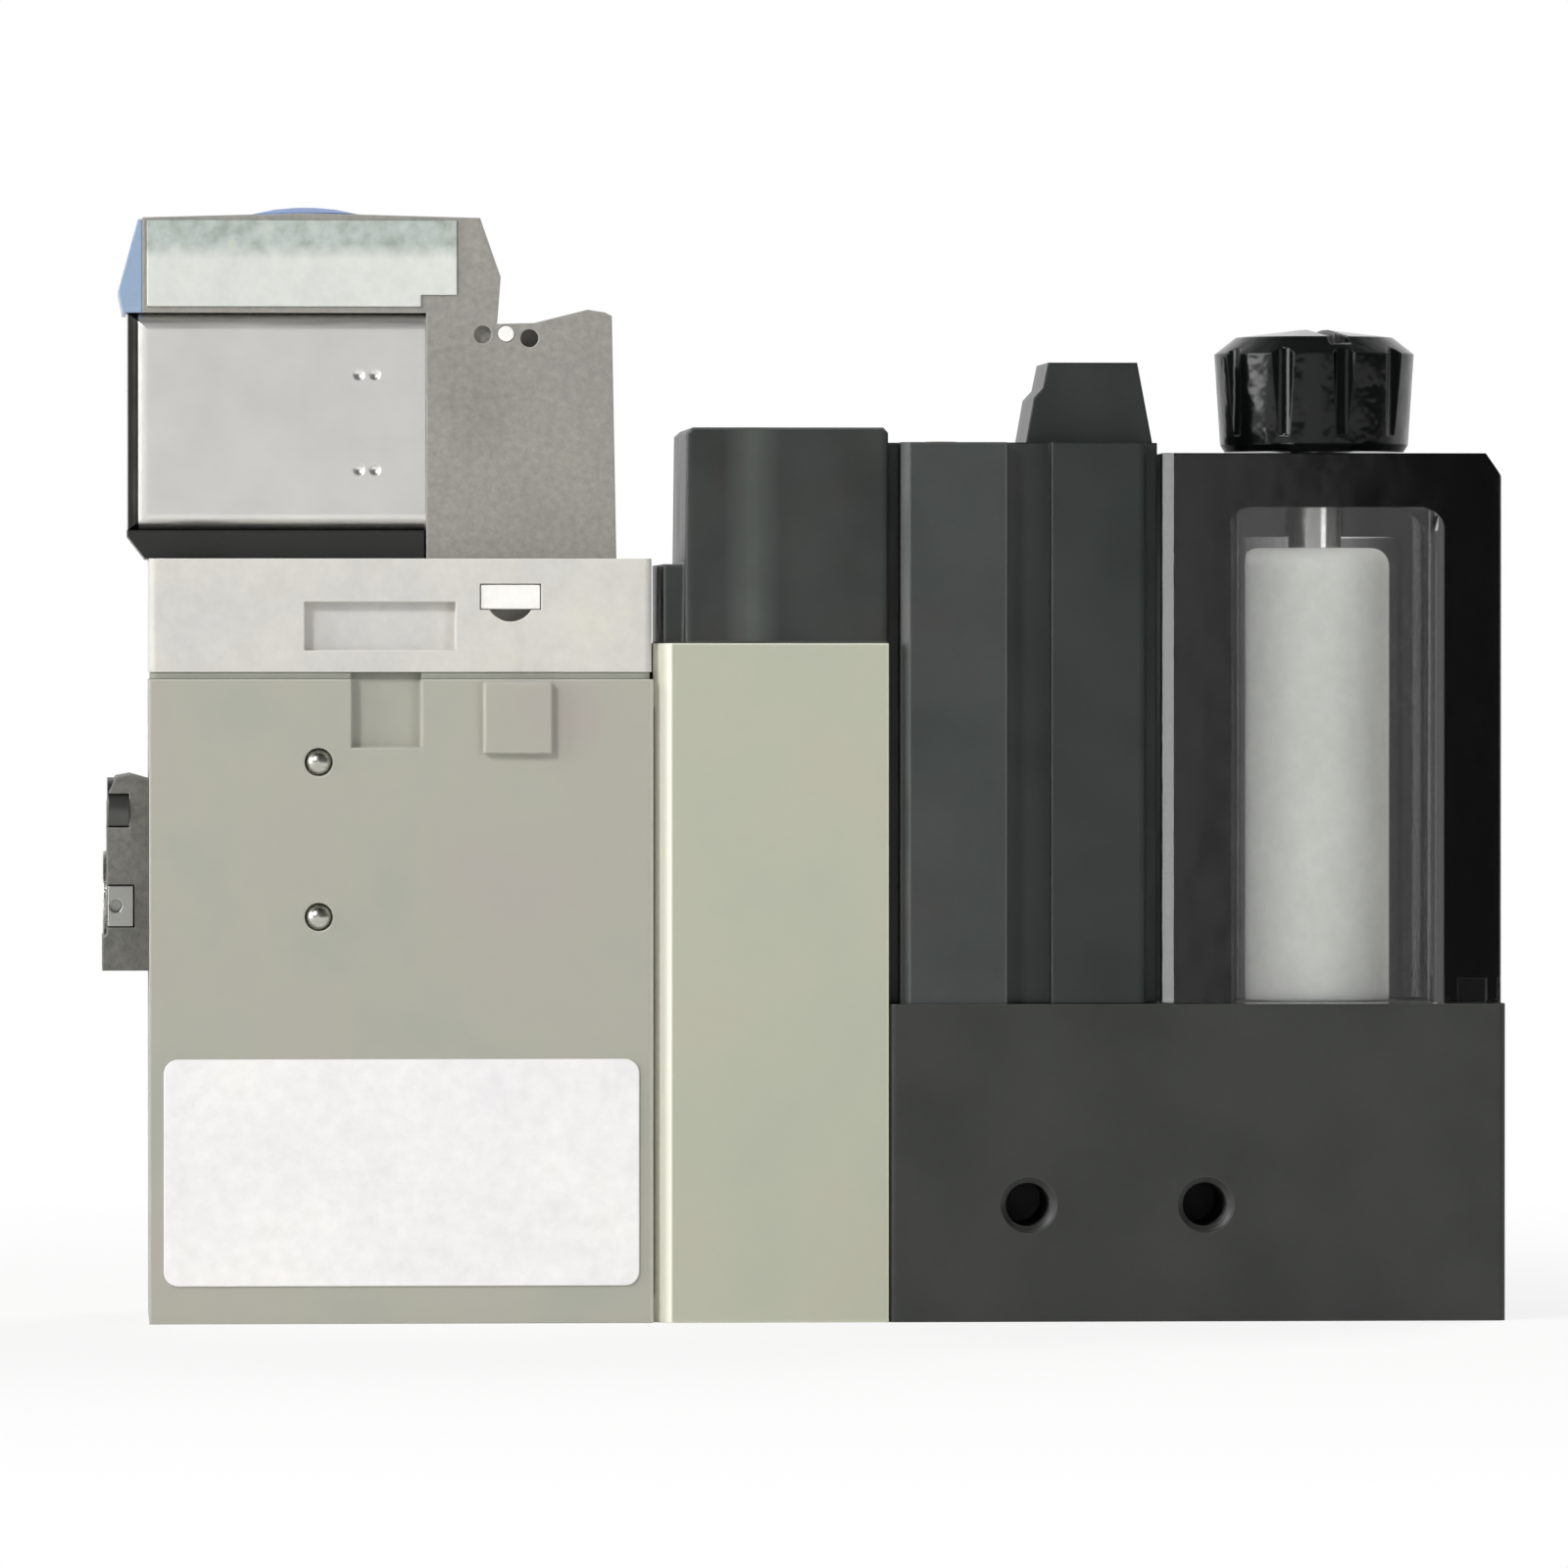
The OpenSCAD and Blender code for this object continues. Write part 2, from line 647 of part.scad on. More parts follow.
module tie_screws() {
    reach = valve_l - tie_head_h - 0.2 + ejector_l + tie_thread;
    color("#8f8f8c") for (p = [[-tie_y, tie_low_z], [tie_y, tie_high_z]])
        translate([x_valve + tie_head_h + 0.3, p[0], p[1]]) rotate([0, -90, 0])
            screw(tie_r, reach - 0.5, tie_head_r, tie_head_h);
}

module joint_screw() {
    reach = valve_l - tie_head_h - 0.3 + 7;
    color("#8f8f8c") translate([x_valve + tie_head_h + 0.3, tie_y, joint_z]) rotate([0, -90, 0])
        screw(tie_r, reach, tie_head_r, tie_head_h);
}

// Plate in the shape of the joint gasket, which starts at x = 0
module gasket_plate(grow, t) {
    margin = 1;
    width = unit_w - 2 * margin + 2 * grow;
    height = valve_h - 2 * margin + 2 * grow;
    translate([0, 0, valve_h / 2]) rotate([0, 90, 0]) linear_extrude(t) rrect(height, width, 0.8);
}

module joint_gasket() {
    color("#2b2b2a") difference() {
        translate([x_eject, 0, 0]) gasket_plate(0, gasket_t);
        long_screw_holes(x_eject - 1, 3);
        translate([x_eject - 1, tie_y, joint_z]) x_rod(tie_r + pass_gap, 3);
        translate([x_eject - 1, 0, outlet_z]) x_rod(outlet_r, 3);
        translate([x_eject - 1, -0.6, vacuum_z - 0.6]) cube([3, 1.2, needle_z - vacuum_z + 1.2]);
    }
}

// ---- Ejector block ----

module ejector_body() {
    half = unit_w / 2;
    color("#b5b6a5") difference() {
        translate([x_eject, 0, 0]) linear_extrude(ejector_h) polygon([
            [0, -half + edge_cut], [edge_cut, -half], [ejector_l, -half], [ejector_l, half],
            [edge_cut, half], [0, half - edge_cut]]);
        translate([x_eject - 1, 0, 0]) gasket_plate(0.05, 1 + gasket_t);
        // Nozzle and diffuser bore, stepped, with the air inlet below
        translate([eject_axis, 0, 2.2]) cylinder(r = nozzle_r * 0.7, h = 10);
        translate([eject_axis, 0, nozzle_low_z]) cylinder(r = nozzle_r + fit_gap, h = 20);
        translate([eject_axis, 0, nozzle_step_z]) cylinder(r = diffuser_r + fit_gap, h = ejector_h);
        translate([eject_axis, 0, ejector_h - 1]) cylinder(r = diffuser_flange_r + fit_gap, h = 2);
        // Ducts: drive air in, release air in, vacuum out
        translate([x_eject - 1, 0, outlet_z]) x_rod(outlet_r, ejector_l / 2 + 1);
        translate([x_eject - 1, 0, vacuum_z]) x_rod(0.6, ejector_l / 2 + 1);
        translate([eject_axis, 0, vacuum_z]) x_rod(vacuum_r, ejector_l);
        // Screws
        long_screw_holes(x_eject - 1, ejector_l + 2);
        translate([x_eject - 1, tie_y, joint_z]) x_rod(tie_r + fit_gap, 1 + 7.4);
        for (p = silencer_screw_at) translate([p[0], p[1], ejector_h - 4.5])
            cylinder(r = small_r + fit_gap, h = 5);
    }
}

module nozzle() {
    barrel = nozzle_r;
    seat = nozzle_r - 2 * seal_cord + fit_gap - 0.05;
    flange = diffuser_r - fit_gap;
    seal_low = nozzle_seal_z - seat_half;
    outside = [[nozzle_low_z + 0.2, 0], [nozzle_low_z + 0.2, barrel], [seal_low, barrel], [seal_low, seat],
               [seal_low + 2 * seat_half, seat], [seal_low + 2 * seat_half, barrel],
               [nozzle_step_z, barrel], [nozzle_step_z, flange], [nozzle_step_z + 1.2, flange],
               [nozzle_step_z + 1.2, 1.9], [nozzle_tip_z, 1.3], [nozzle_tip_z, 0]];
    color("#c8a850") translate([eject_axis, 0, 0]) difference() {
        turned_z(outside);
        translate([0, 0, nozzle_low_z - 1]) cylinder(r = 1.4, h = 6);
        translate([0, 0, nozzle_low_z + 5 - eps]) cylinder(r1 = 1.4, r2 = nozzle_throat_r, h = 3.2);
        translate([0, 0, nozzle_low_z + 8.2 - 2 * eps])
            cylinder(r1 = nozzle_throat_r, r2 = nozzle_throat_r * 1.6,
                     h = nozzle_tip_z - nozzle_low_z - 8.2 + 3 * eps);
    }
}

module diffuser() {
    seat = diffuser_r - 2 * seal_cord + fit_gap - 0.05;
    throat_z = diffuser_low_z + 4;
    seal_low = diffuser_seal_z - seat_half;
    outside = [[diffuser_low_z, 0], [diffuser_low_z, diffuser_r - 0.3], [diffuser_low_z + 0.3, diffuser_r],
               [seal_low, diffuser_r], [seal_low, seat], [seal_low + 2 * seat_half, seat],
               [seal_low + 2 * seat_half, diffuser_r], [ejector_h - 1, diffuser_r],
               [ejector_h - 1, diffuser_flange_r], [ejector_h, diffuser_flange_r], [ejector_h, 0]];
    color("#9b9c98") translate([eject_axis, 0, 0]) difference() {
        turned_z(outside);
        translate([0, 0, diffuser_low_z - eps]) cylinder(r1 = 2.3, r2 = diffuser_throat_r, h = 4 + 2 * eps);
        translate([0, 0, throat_z - eps]) cylinder(r = diffuser_throat_r, h = 4);
        translate([0, 0, throat_z + 3.9]) cylinder(r1 = diffuser_throat_r, r2 = 1.95,
            h = ejector_h - throat_z - 3.9 + eps);
    }
}

module o_rings() {
    color("#1c1c1c") {
        translate([eject_axis, 0, nozzle_seal_z]) o_ring(nozzle_r + fit_gap - seal_cord - 0.01, seal_cord);
        translate([eject_axis, 0, diffuser_seal_z])
            o_ring(diffuser_r + fit_gap - seal_cord - 0.01, seal_cord);
        translate([x_left + 0.05 + bush_seal_u, 0, port_z]) o_ring_x(bush_r - seal_cord - 0.01, seal_cord);
    }
}

module silencer_cover() {
    inner_l = silencer_l - 2 * silencer_wall;
    inner_w = module_w - 2 * silencer_wall;
    slot_step = (inner_w - 2) / slot_count;
    slot_w = 1.2;
    lip = silencer_x - x_eject - 0.6;
    color("#454544") difference() {
        union() {
            translate([silencer_x, 0, ejector_h]) intersection() {
                block(silencer_l, module_w, silencer_h);
                side_plate(module_w, [[0, 0], [silencer_l, 0], [silencer_l, silencer_h - 0.3],
                    [silencer_l - 0.3, silencer_h], [0.5, silencer_h], [0.15, silencer_h - 0.3]]);
            }
            translate([silencer_x - lip, 0, ejector_h]) box(lip + 0.5, module_w - 1, 4.4);
        }
        difference() {
            translate([silencer_x + silencer_wall, 0, ejector_h - 1])
                box(inner_l, inner_w, silencer_h - silencer_wall + 1);
            for (p = silencer_screw_at) translate([p[0], p[1], ejector_h - 2])
                cylinder(r = 1.9, h = silencer_h);
        }
        // Exhaust slots, the outer two cut short for the screws
        for (i = [0:slot_count - 1])
            translate([silencer_x + (i == 0 ? 4.6 : 2.6),
                       slot_step * (i + 0.5) + 1 - inner_w / 2 - slot_w / 2,
                       ejector_h + silencer_h - silencer_wall - 1])
            cube([silencer_l - (i == 0 || i == slot_count - 1 ? 7.2 : 5.2), slot_w, 4]);
        for (p = silencer_screw_at) translate([p[0], p[1], ejector_h - 1]) {
            cylinder(r = small_r + pass_gap, h = silencer_h + 2);
            translate([0, 0, silencer_h - screw_head_h + 0.9]) cylinder(r = 1.7, h = 4);
        }
    }
}

module silencer_element() {
    gap = 0.2;
    inner_l = silencer_l - 2 * silencer_wall - 2 * gap;
    inner_w = module_w - 2 * silencer_wall - 2 * gap;
    color("#e4e2da") difference() {
        translate([silencer_x + silencer_wall + gap, 0, ejector_h + 0.05])
            box(inner_l, inner_w, silencer_h - silencer_wall - 0.1);
        translate([eject_axis, 0, ejector_h - 1]) cylinder(r = 2, h = 8);
        for (p = silencer_screw_at) translate([p[0], p[1], ejector_h - 1])
            cylinder(r = 2.1, h = silencer_h + 2);
    }
}

module silencer_screws() {
    color("#a9a9a6") for (p = silencer_screw_at)
        translate([p[0], p[1], ejector_h + silencer_h - screw_head_h - 0.1])
            screw(small_r, silencer_screw_l, 1.6, screw_head_h);
}

// ---- Pilot valve ----

// Window in the can's floor, and the boss of the interface plate that fills it
module can_window(grow, h) {
    translate([solenoid_x - 4.2 - grow, 0, 0]) box(8.4 + 2 * grow, 6.4 + 2 * grow, h);
}

module pilot_plate() {
    color("#2a2a29") difference() {
        union() {
            translate([can_x + 0.05, 0, pilot_z]) side_plate(pilot_w, [[1, 0], [can_l - 0.15, 0],
                [can_l - 0.15, plate_t], [0, plate_t], [0, plate_t * 0.8]]);
            translate([0, 0, can_z - eps]) can_window(0, foot_z - can_z - fit_gap);
        }
        translate([solenoid_x, 0, foot_z - 1]) cylinder(r = 1.2, h = 2);
        translate([ball_x + 3.2, 0, pilot_z - 1]) cylinder(r = 0.6, h = 5);
        translate([spool_x + 0.7, 2.6, pilot_z - 1]) cylinder(r = 0.6, h = 5);
    }
}

module pilot_body() {
    left = x_valve - 0.35;
    roof = 0.25;
    color("#97958e") difference() {
        union() {
            // Column with the plug socket, and the arm over the can, as one profile
            side_plate(pilot_w, [[column_x, pilot_z], [column_x + column_l + 0.05, pilot_z],
                [column_x + column_l - 0.2, arm_z - 0.15], [column_x + column_l - 0.6, arm_z + 0.05],
                [column_x + 9, arm_z + 0.2], [column_x + 6, arm_z - 0.55], [column_x + 3.95, arm_z - 0.6],
                [column_x + 4.15, arm_z + 2], [column_x + 3, arm_top_z], [solenoid_x, arm_top_z + roof],
                [left, arm_top_z], [left, arm_z], [column_x, arm_z]]);
            // Foot inside the can, which holds the valve seat
            translate([can_x + can_wall + 0.25, 0, foot_z])
                box(can_l - can_wall - 0.25 + eps, pilot_w - 2 * can_wall - 0.1, foot_h);
        }
        // Valve chamber, seat and the ducts from the interface plate
        translate([solenoid_x, 0, foot_z - 1]) cylinder(r = chamber_r, h = seat_z - foot_z + 1);
        translate([solenoid_x, 0, foot_z]) cylinder(r = rod_r + 0.35, h = foot_h + 1);
        translate([spool_x + 0.7, 2.6, foot_z - 1]) cylinder(r = 0.6, h = 2);
        translate([spool_x + 0.7, 0, foot_z]) box(solenoid_x - spool_x - 0.7, 6.4, 0.6);
        // Bore of the manual override
        translate([solenoid_x, 0, arm_z - 1]) cylinder(r = stem_r + 0.3, h = arm_h + 2);
        translate([solenoid_x, 0, override_seat_z]) cylinder(r = override_r + slide_gap, h = arm_h);
        // Hollow for the surge board, open to the left end
        translate([left - 1, 0, arm_z + 0.8]) box(solenoid_x - override_r - 0.8 - left + 1, pilot_w - 2, 3.2);
        // Plug socket, its pin holes, and the small windows in the front
        translate([plug_x, 0, plug_floor_z]) box(plug_l, plug_w, 20);
        for (y = [-1, 1])
            translate([plug_x + plug_l / 2 - pin_w / 2, y * 1.25 - pin_w / 2, plug_floor_z - 1.5])
                cube([pin_w, pin_w, 3]);
        translate([column_x + 3.15, -pilot_w / 2 - 1, arm_z - 1.2]) y_rod(0.5, 1.5);
        translate([column_x + 5.75, -pilot_w / 2 - 1, arm_z - 1.4]) y_rod(0.5, 4);
        translate([column_x + 4.45, -pilot_w / 2 - 1, arm_z - 1.15]) y_rod(0.45 + fit_gap, 2.5);
        // Long fixing screws
        for (y = [-1, 1]) translate([pilot_screw_x, y * pilot_screw_y, pilot_z - 1]) {
            cylinder(r = small_r + pass_gap, h = arm_top_z - pilot_z + 2);
            translate([0, 0, arm_top_z - pilot_z - screw_head_h + 0.9]) cylinder(r = 1.6, h = 10);
        }
    }
}

module solenoid_can() {
    r = 1.2;
    inner_w = pilot_w - 2 * can_wall;
    dimples = [for (x = [-0.45, 0.45], z = [-1, 1]) [can_x + can_l - 3.3 + x, can_z + can_h / 2 + z * 2.65]];
    color("#cfceca") difference() {
        // Drawn cup, open to the right: its closed left end and its long edges are round
        intersection() {
            translate([can_x, 0, can_z]) linear_extrude(can_h) {
                translate([r, 0]) rrect(2 * r, pilot_w, r);
                translate([r, -pilot_w / 2]) square([can_l - r, pilot_w]);
            }
            translate([can_x, 0, can_z + can_h / 2]) rotate([0, 90, 0]) linear_extrude(can_l)
                rrect(can_h, pilot_w, 0.9);
        }
        translate([can_x + can_wall, 0, can_z + can_wall]) box(can_l, inner_w, can_h - 2 * can_wall);
        translate([0, 0, can_z - 1]) can_window(fit_gap, 3);
        translate([solenoid_x, 0, can_z + 2]) cylinder(r = stem_r + 0.15, h = can_h);
        front_and_rear() for (p = dimples) translate([p[0], -pilot_w / 2 - 0.25, p[1]]) sphere(0.4);
    }
}

module coil_bobbin() {
    l = can_l - can_wall - 0.6;
    h = bobbin_top_z - bobbin_z;
    w = pilot_w - 2 * can_wall - 0.1;
    color("#3a3a38") difference() {
        union() {
            for (z = [0, h - bobbin_flange])
                translate([can_x + can_wall + 0.3, 0, bobbin_z + z]) box(l, w, bobbin_flange);
            translate([solenoid_x, 0, bobbin_z]) cylinder(r = armature_r + 0.68, h = h);
        }
        translate([solenoid_x, 0, bobbin_z - 1]) cylinder(r = armature_r + slide_gap, h = h + 2);
    }
}

module coil_winding() {
    h = bobbin_top_z - bobbin_z - 2 * bobbin_flange;
    color("#a4572c") translate([solenoid_x, 0, bobbin_z + bobbin_flange]) difference() {
        cylinder(r = pilot_w / 2 - can_wall - 0.35, h = h);
        translate([0, 0, -1]) cylinder(r = armature_r + 0.68 + fit_gap, h = h + 2);
    }
}

module fixed_core() {
    color("#9a9b9c") translate([solenoid_x, 0, bobbin_z]) difference() {
        cylinder(r = armature_r + slide_gap - fit_gap, h = core_top_z - bobbin_z);
        translate([0, 0, -1]) cylinder(r = rod_r + 0.1, h = 10);
    }
}

module armature() {
    color("#a5a6a7") translate([solenoid_x, 0, 0]) {
        translate([0, 0, seat_z]) cylinder(r = rod_r, h = armature_z - seat_z + 0.5);
        translate([0, 0, armature_z]) cylinder(r = armature_r, h = armature_top_z - armature_z);
    }
}

module pilot_poppet() {
    color("#1f1f1f") translate([solenoid_x, 0, seat_z - 0.02 - poppet_t])
        cylinder(r = poppet_r, h = poppet_t);
}

module poppet_spring() {
    start = foot_z - 1 + 0.02;
    color("#c4c6c8") translate([solenoid_x, 0, start])
        coil_spring(0.85, 0.15, seat_z - 0.04 - poppet_t - start, 3);
}

module override_button() {
    low = armature_top_z + override_gap;
    groove = stem_r - 0.3;
    ring_z = arm_z + 1;
    dome = arm_top_z + 0.7;
    color("#3f6fb4") translate([solenoid_x, 0, 0]) difference() {
        turned_z([[low, 0], [low, stem_r], [ring_z - 0.3, stem_r], [ring_z - 0.3, groove],
                  [ring_z + 0.3, groove], [ring_z + 0.3, stem_r], [override_low_z, stem_r],
                  [override_low_z, override_r], [dome - 0.35, override_r], [dome - 0.1, override_r * 0.6],
                  [dome, override_r * 0.25], [dome, 0]]);
        translate([0, 0, override_low_z - 1]) difference() {
            cylinder(r = 2.3, h = 1 + 1.4);
            cylinder(r = stem_r + 0.35, h = 4);
        }
        translate([-2, -0.35, dome - 0.7]) cube([4, 0.7, 2]);
    }
}

module override_ring() {
    color("#1c1c1c") translate([solenoid_x, 0, arm_z + 1])
        o_ring(stem_r - 0.3 + small_cord + 0.02, small_cord);
}

module override_spring() {
    color("#c4c6c8") translate([solenoid_x, 0, override_seat_z + 0.02])
        coil_spring(1.85, 0.15, override_low_z + 1.4 - override_seat_z - 0.04, 3);
}

module end_plate() {
    color("#6f96c8") side_plate(pilot_w - 0.1, [[x_valve - 0.37, arm_z], [x_valve - 1.45, arm_z],
        [x_valve - 1.7, arm_z + 1.2], [x_valve - 0.6, arm_top_z - 0.1], [x_valve - 0.37, arm_top_z - 0.1]]);
}

module pilot_label() {
    color("#d8dad3") translate([0, -pilot_w / 2, 0]) rotate([90, 0, 0]) linear_extrude(label_t) polygon([
        [x_valve - 0.1, arm_z + 0.35], [column_x - 0.3, arm_z + 0.35], [column_x - 0.3, arm_z + 1],
        [column_x + 1.7, arm_z + 1], [column_x + 1.7, arm_top_z - 0.15], [x_valve - 0.1, arm_top_z - 0.15]]);
}

module surge_board() {
    l = solenoid_x - override_r - 0.8 - x_valve;
    color("#2f6b45") translate([x_valve, 0, arm_z + 0.8 + fit_gap]) {
        box(l, pilot_w - 2.2, 0.8);
        translate([0.8, -1.6, 0.8 - eps]) box(2, 1.3, 1);
        translate([l - 1.8, 1.2, 0.8 - eps]) box(1.2, 2.4, 0.7);
    }
}

module pin(l) {
    tip = 0.4;
    half = pin_w / 2 - fit_gap;
    translate([0, 0, l - tip]) cylinder(r = half, h = tip);
    translate([-half, -half, 0]) cube([2 * half, 2 * half, l - tip + eps]);
}

module contact_pins() {
    color("#cbb26a") {
        for (y = [-1, 1]) translate([plug_x + plug_l / 2, y * 1.25, plug_floor_z - 1.5 + fit_gap]) pin(6.5);
        for (y = [-2, 0, 2]) translate([tab_x + tab_l / 2, y, switch_top_z - switch_roof + fit_gap]) pin(6.5);
    }
}

module indicator_lens() {
    color("#efede6") translate([column_x + 4.45, -pilot_w / 2 - 0.05, arm_z - 1.15]) y_rod(0.45, 1.5);
}

module pilot_screws() {
    head_z = arm_top_z - screw_head_h - 0.1;
    color("#a9a9a6") for (y = [-1, 1]) translate([pilot_screw_x, y * pilot_screw_y, head_z])
        screw(small_r, head_z - pilot_z + 4.3, 1.5, screw_head_h);
}

// ---- Base ----

module base_manifold() {
    color("#404240") difference() {
        union() {
            translate([x_base, 0, 0]) block(base_l, unit_w, base_h);
            // Key that sets the filter case
            translate([case_x + case_l - 0.6 - key_l, 0, base_h - eps]) box(key_l, 5.8, 1.3);
        }
        // Tapped fixing holes in the front face
        for (i = [0, 1]) translate([fix_x + i * fix_pitch, front_y - 1, fix_z])
            y_rod(fix_hole_r, 1 + fix_depth);
        // Check valve pocket, its seat and the duct to the ejector
        translate([check_x, 0, check_seat_z]) cylinder(r = check_r, h = base_h);
        translate([check_x, 0, duct_z]) cylinder(r = 1.2, h = base_h / 2);
        translate([x_base - 1, 0, vacuum_z]) x_rod(vacuum_r, check_x - x_base + 1);
        // Long duct from the filter, and the sensing duct up to the switch
        translate([check_x, 0, duct_z]) x_rod(duct_r, filter_x - check_x);
        translate([sense_x, 0, duct_z]) cylinder(r = 0.7, h = base_h);
        // Pocket of the tension bolt's insert, open to the filter element
        translate([filter_x, 0, insert_z]) cylinder(r = insert_r + fit_gap, h = base_h);
        // Vacuum port and its rise to the outside of the element
        translate([x_end - 5.5, 0, inlet_z]) x_rod(port_thread_r, 6);
        translate([inlet_x, inlet_y, inlet_z]) cylinder(r = 0.9, h = base_h);
        // Groove of the case seal
        translate([0, 0, base_h - case_seal_h - 0.02]) case_ring(fit_gap, 2);
        // Screws
        long_screw_holes(x_base - 1, 0.9);
        for (p = [[-tie_y, tie_low_z], [tie_y, tie_high_z]])
            translate([x_base - 1, p[0], p[1]]) x_rod(tie_r + fit_gap, 1 + tie_thread);
        for (p = switch_screw_at) translate([p[0], p[1], -1]) {
            cylinder(r = small_r + pass_gap, h = base_h + 2);
            cylinder(r = screw_head_r + pass_gap, h = 1 + 1.5);
        }
    }
}

module check_disc() {
    color("#262626") translate([check_x, 0, check_seat_z + 0.02]) {
        cylinder(r = check_r - 0.6, h = check_t);
        for (a = [0:120:240]) rotate(a) translate([check_r - 0.85, -0.3, 0])
            cube([0.85 - slide_gap, 0.6, check_t]);
    }
}

module bolt_insert() {
    color("#c8a850") translate([filter_x, 0, insert_z]) difference() {
        cylinder(r = insert_r, h = insert_h);
        translate([0, 0, 0.8]) cylinder(r = bolt_r + slide_gap, h = insert_h);
    }
}

// ---- Vacuum switch ----

module switch_body() {
    rim_y = module_w / 2 - lid_t;
    inner_l = switch_l - 2 * switch_wall;
    front_wall = switch_wall + groove_depth;
    inner_w = module_w - lid_t - front_wall;
    tab_half = tab_w / 2;
    color("#3f4241") difference() {
        union() {
            translate([switch_x, 0, base_h]) intersection() {
                block(switch_l, module_w, switch_h);
                translate([-1, -module_w, -1]) cube([switch_l + 2, module_w + rim_y, switch_h + 2]);
            }
            // Connector socket with sloping ends and a small shoulder
            translate([tab_x, 0, switch_top_z]) side_plate(tab_w, [[0, -eps], [tab_l, -eps],
                [tab_l - 0.85, socket_h], [1.25, socket_h], [0.95, socket_h * 0.68],
                [0.45, socket_h * 0.56]]);
            // Ribs towards the ejector block and the filter case
            translate([x_base + pass_gap, gap_rib_y, base_h])
                cube([switch_x + switch_l + gap_rib_l - x_base - pass_gap, gap_rib_w, switch_h]);
        }
        // Inside, open to the rear
        translate([switch_x + switch_wall, -module_w / 2 + front_wall, base_h + switch_wall])
            difference() {
                cube([inner_l, inner_w + 1, switch_h - switch_wall - switch_roof]);
                for (p = switch_screw_at) translate([p[0] - switch_x - switch_wall,
                    p[1] + module_w / 2 - front_wall, -1]) cylinder(r = 1.9, h = 1 + boss_h);
            }
        // Upright flat and groove in the front
        translate([switch_x, -module_w / 2, base_h - 1]) edge_flat(front_cut, switch_h + 2);
        translate([groove_x, -module_w / 2 - 1, base_h - 1])
            cube([groove_l, 1 + groove_depth, switch_h + 1.6]);
        // Connector opening and its pin holes
        translate([tab_x + tab_l / 2 - 1.9, 0, switch_top_z - 2]) box(3.8, 6.6, socket_h + 3);
        for (y = [-2, 0, 2])
            translate([tab_x + tab_l / 2 - pin_w / 2, y - pin_w / 2, switch_top_z - switch_roof - 1])
                cube([pin_w, pin_w, 4]);
        // Trimmer, lens, sensing port and screws
        translate([trimmer_x, 0, switch_top_z - switch_roof - 1]) cylinder(r = trimmer_r + slide_gap, h = 6);
        translate([trimmer_x, lens_y, switch_top_z - switch_roof - 1]) cylinder(r = lens_r + fit_gap, h = 6);
        translate([sense_x, 0, base_h - 1]) cylinder(r = 1.2 + fit_gap, h = 4);
        for (p = switch_screw_at) translate([p[0], p[1], base_h - 1])
            cylinder(r = small_r + fit_gap, h = 1 + 4.5);
    }
}

module switch_lid() {
    rim_y = module_w / 2 - lid_t;
    post_l = rim_y - board_y - board_t;
    color("#353837") {
        translate([switch_x, 0, base_h]) intersection() {
            block(switch_l, module_w, switch_h);
            translate([-1, rim_y, -1]) cube([switch_l + 2, 10, switch_h + 2]);
        }
        for (z = [12, switch_h - 6]) translate([switch_x + 4.5, board_y + board_t, base_h + z])
            y_rod(0.9, post_l + eps);
    }
}

module switch_board() {
    l = switch_l - 2 * switch_wall - 0.6;
    low = 8;
    color("#2f6b45") translate([switch_x + switch_wall + 0.3, board_y, base_h + low])
        cube([l, board_t, switch_h - switch_roof - low - 0.3]);
}

module pressure_sensor() {
    color("#b9bab8") {
        translate([sense_x - sensor_l / 2, board_y - 0.02 - 5, sensor_z]) cube([sensor_l, 5, sensor_l + 2]);
        translate([sense_x, 0, base_h + 0.3]) difference() {
            cylinder(r = 1.2, h = sensor_z - base_h);
            translate([0, 0, -1]) cylinder(r = 0.5, h = 3);
        }
    }
}

module setting_trimmer() {
    color("#d9cfa8") translate([trimmer_x, 0, switch_top_z - switch_roof + 0.4]) difference() {
        cylinder(r = trimmer_r, h = switch_roof - 0.8);
        translate([-2, -0.2, switch_roof - 1.4]) cube([4, 0.4, 2]);
    }
}

module switch_lens() {
    color("#b5382c") translate([trimmer_x, lens_y, switch_top_z - switch_roof])
        cylinder(r = lens_r, h = switch_roof + 0.2);
}

// ---- Suction filter ----

// Outline of the case's hollow in plan, and a ring of the seal's width round it
module hollow_outline(grow = 0) {
    translate([hollow_x, (hollow_rear - hollow_front) / 2])
        rrect(2 * (hollow_half + grow), hollow_front + hollow_rear + 2 * grow, 1.2 + grow);
}
module case_ring(grow, h) {
    linear_extrude(h) difference() {
        hollow_outline(case_seal_gap + case_seal_w + grow);
        hollow_outline(case_seal_gap - grow);
    }
}

// Hollow of the case: a flat-walled front half with round top corners, and a round rear half that ends
// just over the filter element
module case_hollow() {
    h = case_h - case_roof;
    top_r = 1.6;
    intersection() {
        translate([0, 0, base_h - 1]) linear_extrude(h + 1) hollow_outline();
        translate([hollow_x, 0, base_h]) rotate([90, 0, 0]) linear_extrude(module_w) {
            translate([0, h - 2 * top_r]) rrect(2 * hollow_half, 4 * top_r, top_r);
            translate([-hollow_half, -2]) square([2 * hollow_half, h]);
        }
    }
    translate([filter_x, 0, base_h - 1]) cylinder(r = hollow_rear, h = 1 + element_h + 0.7);
}

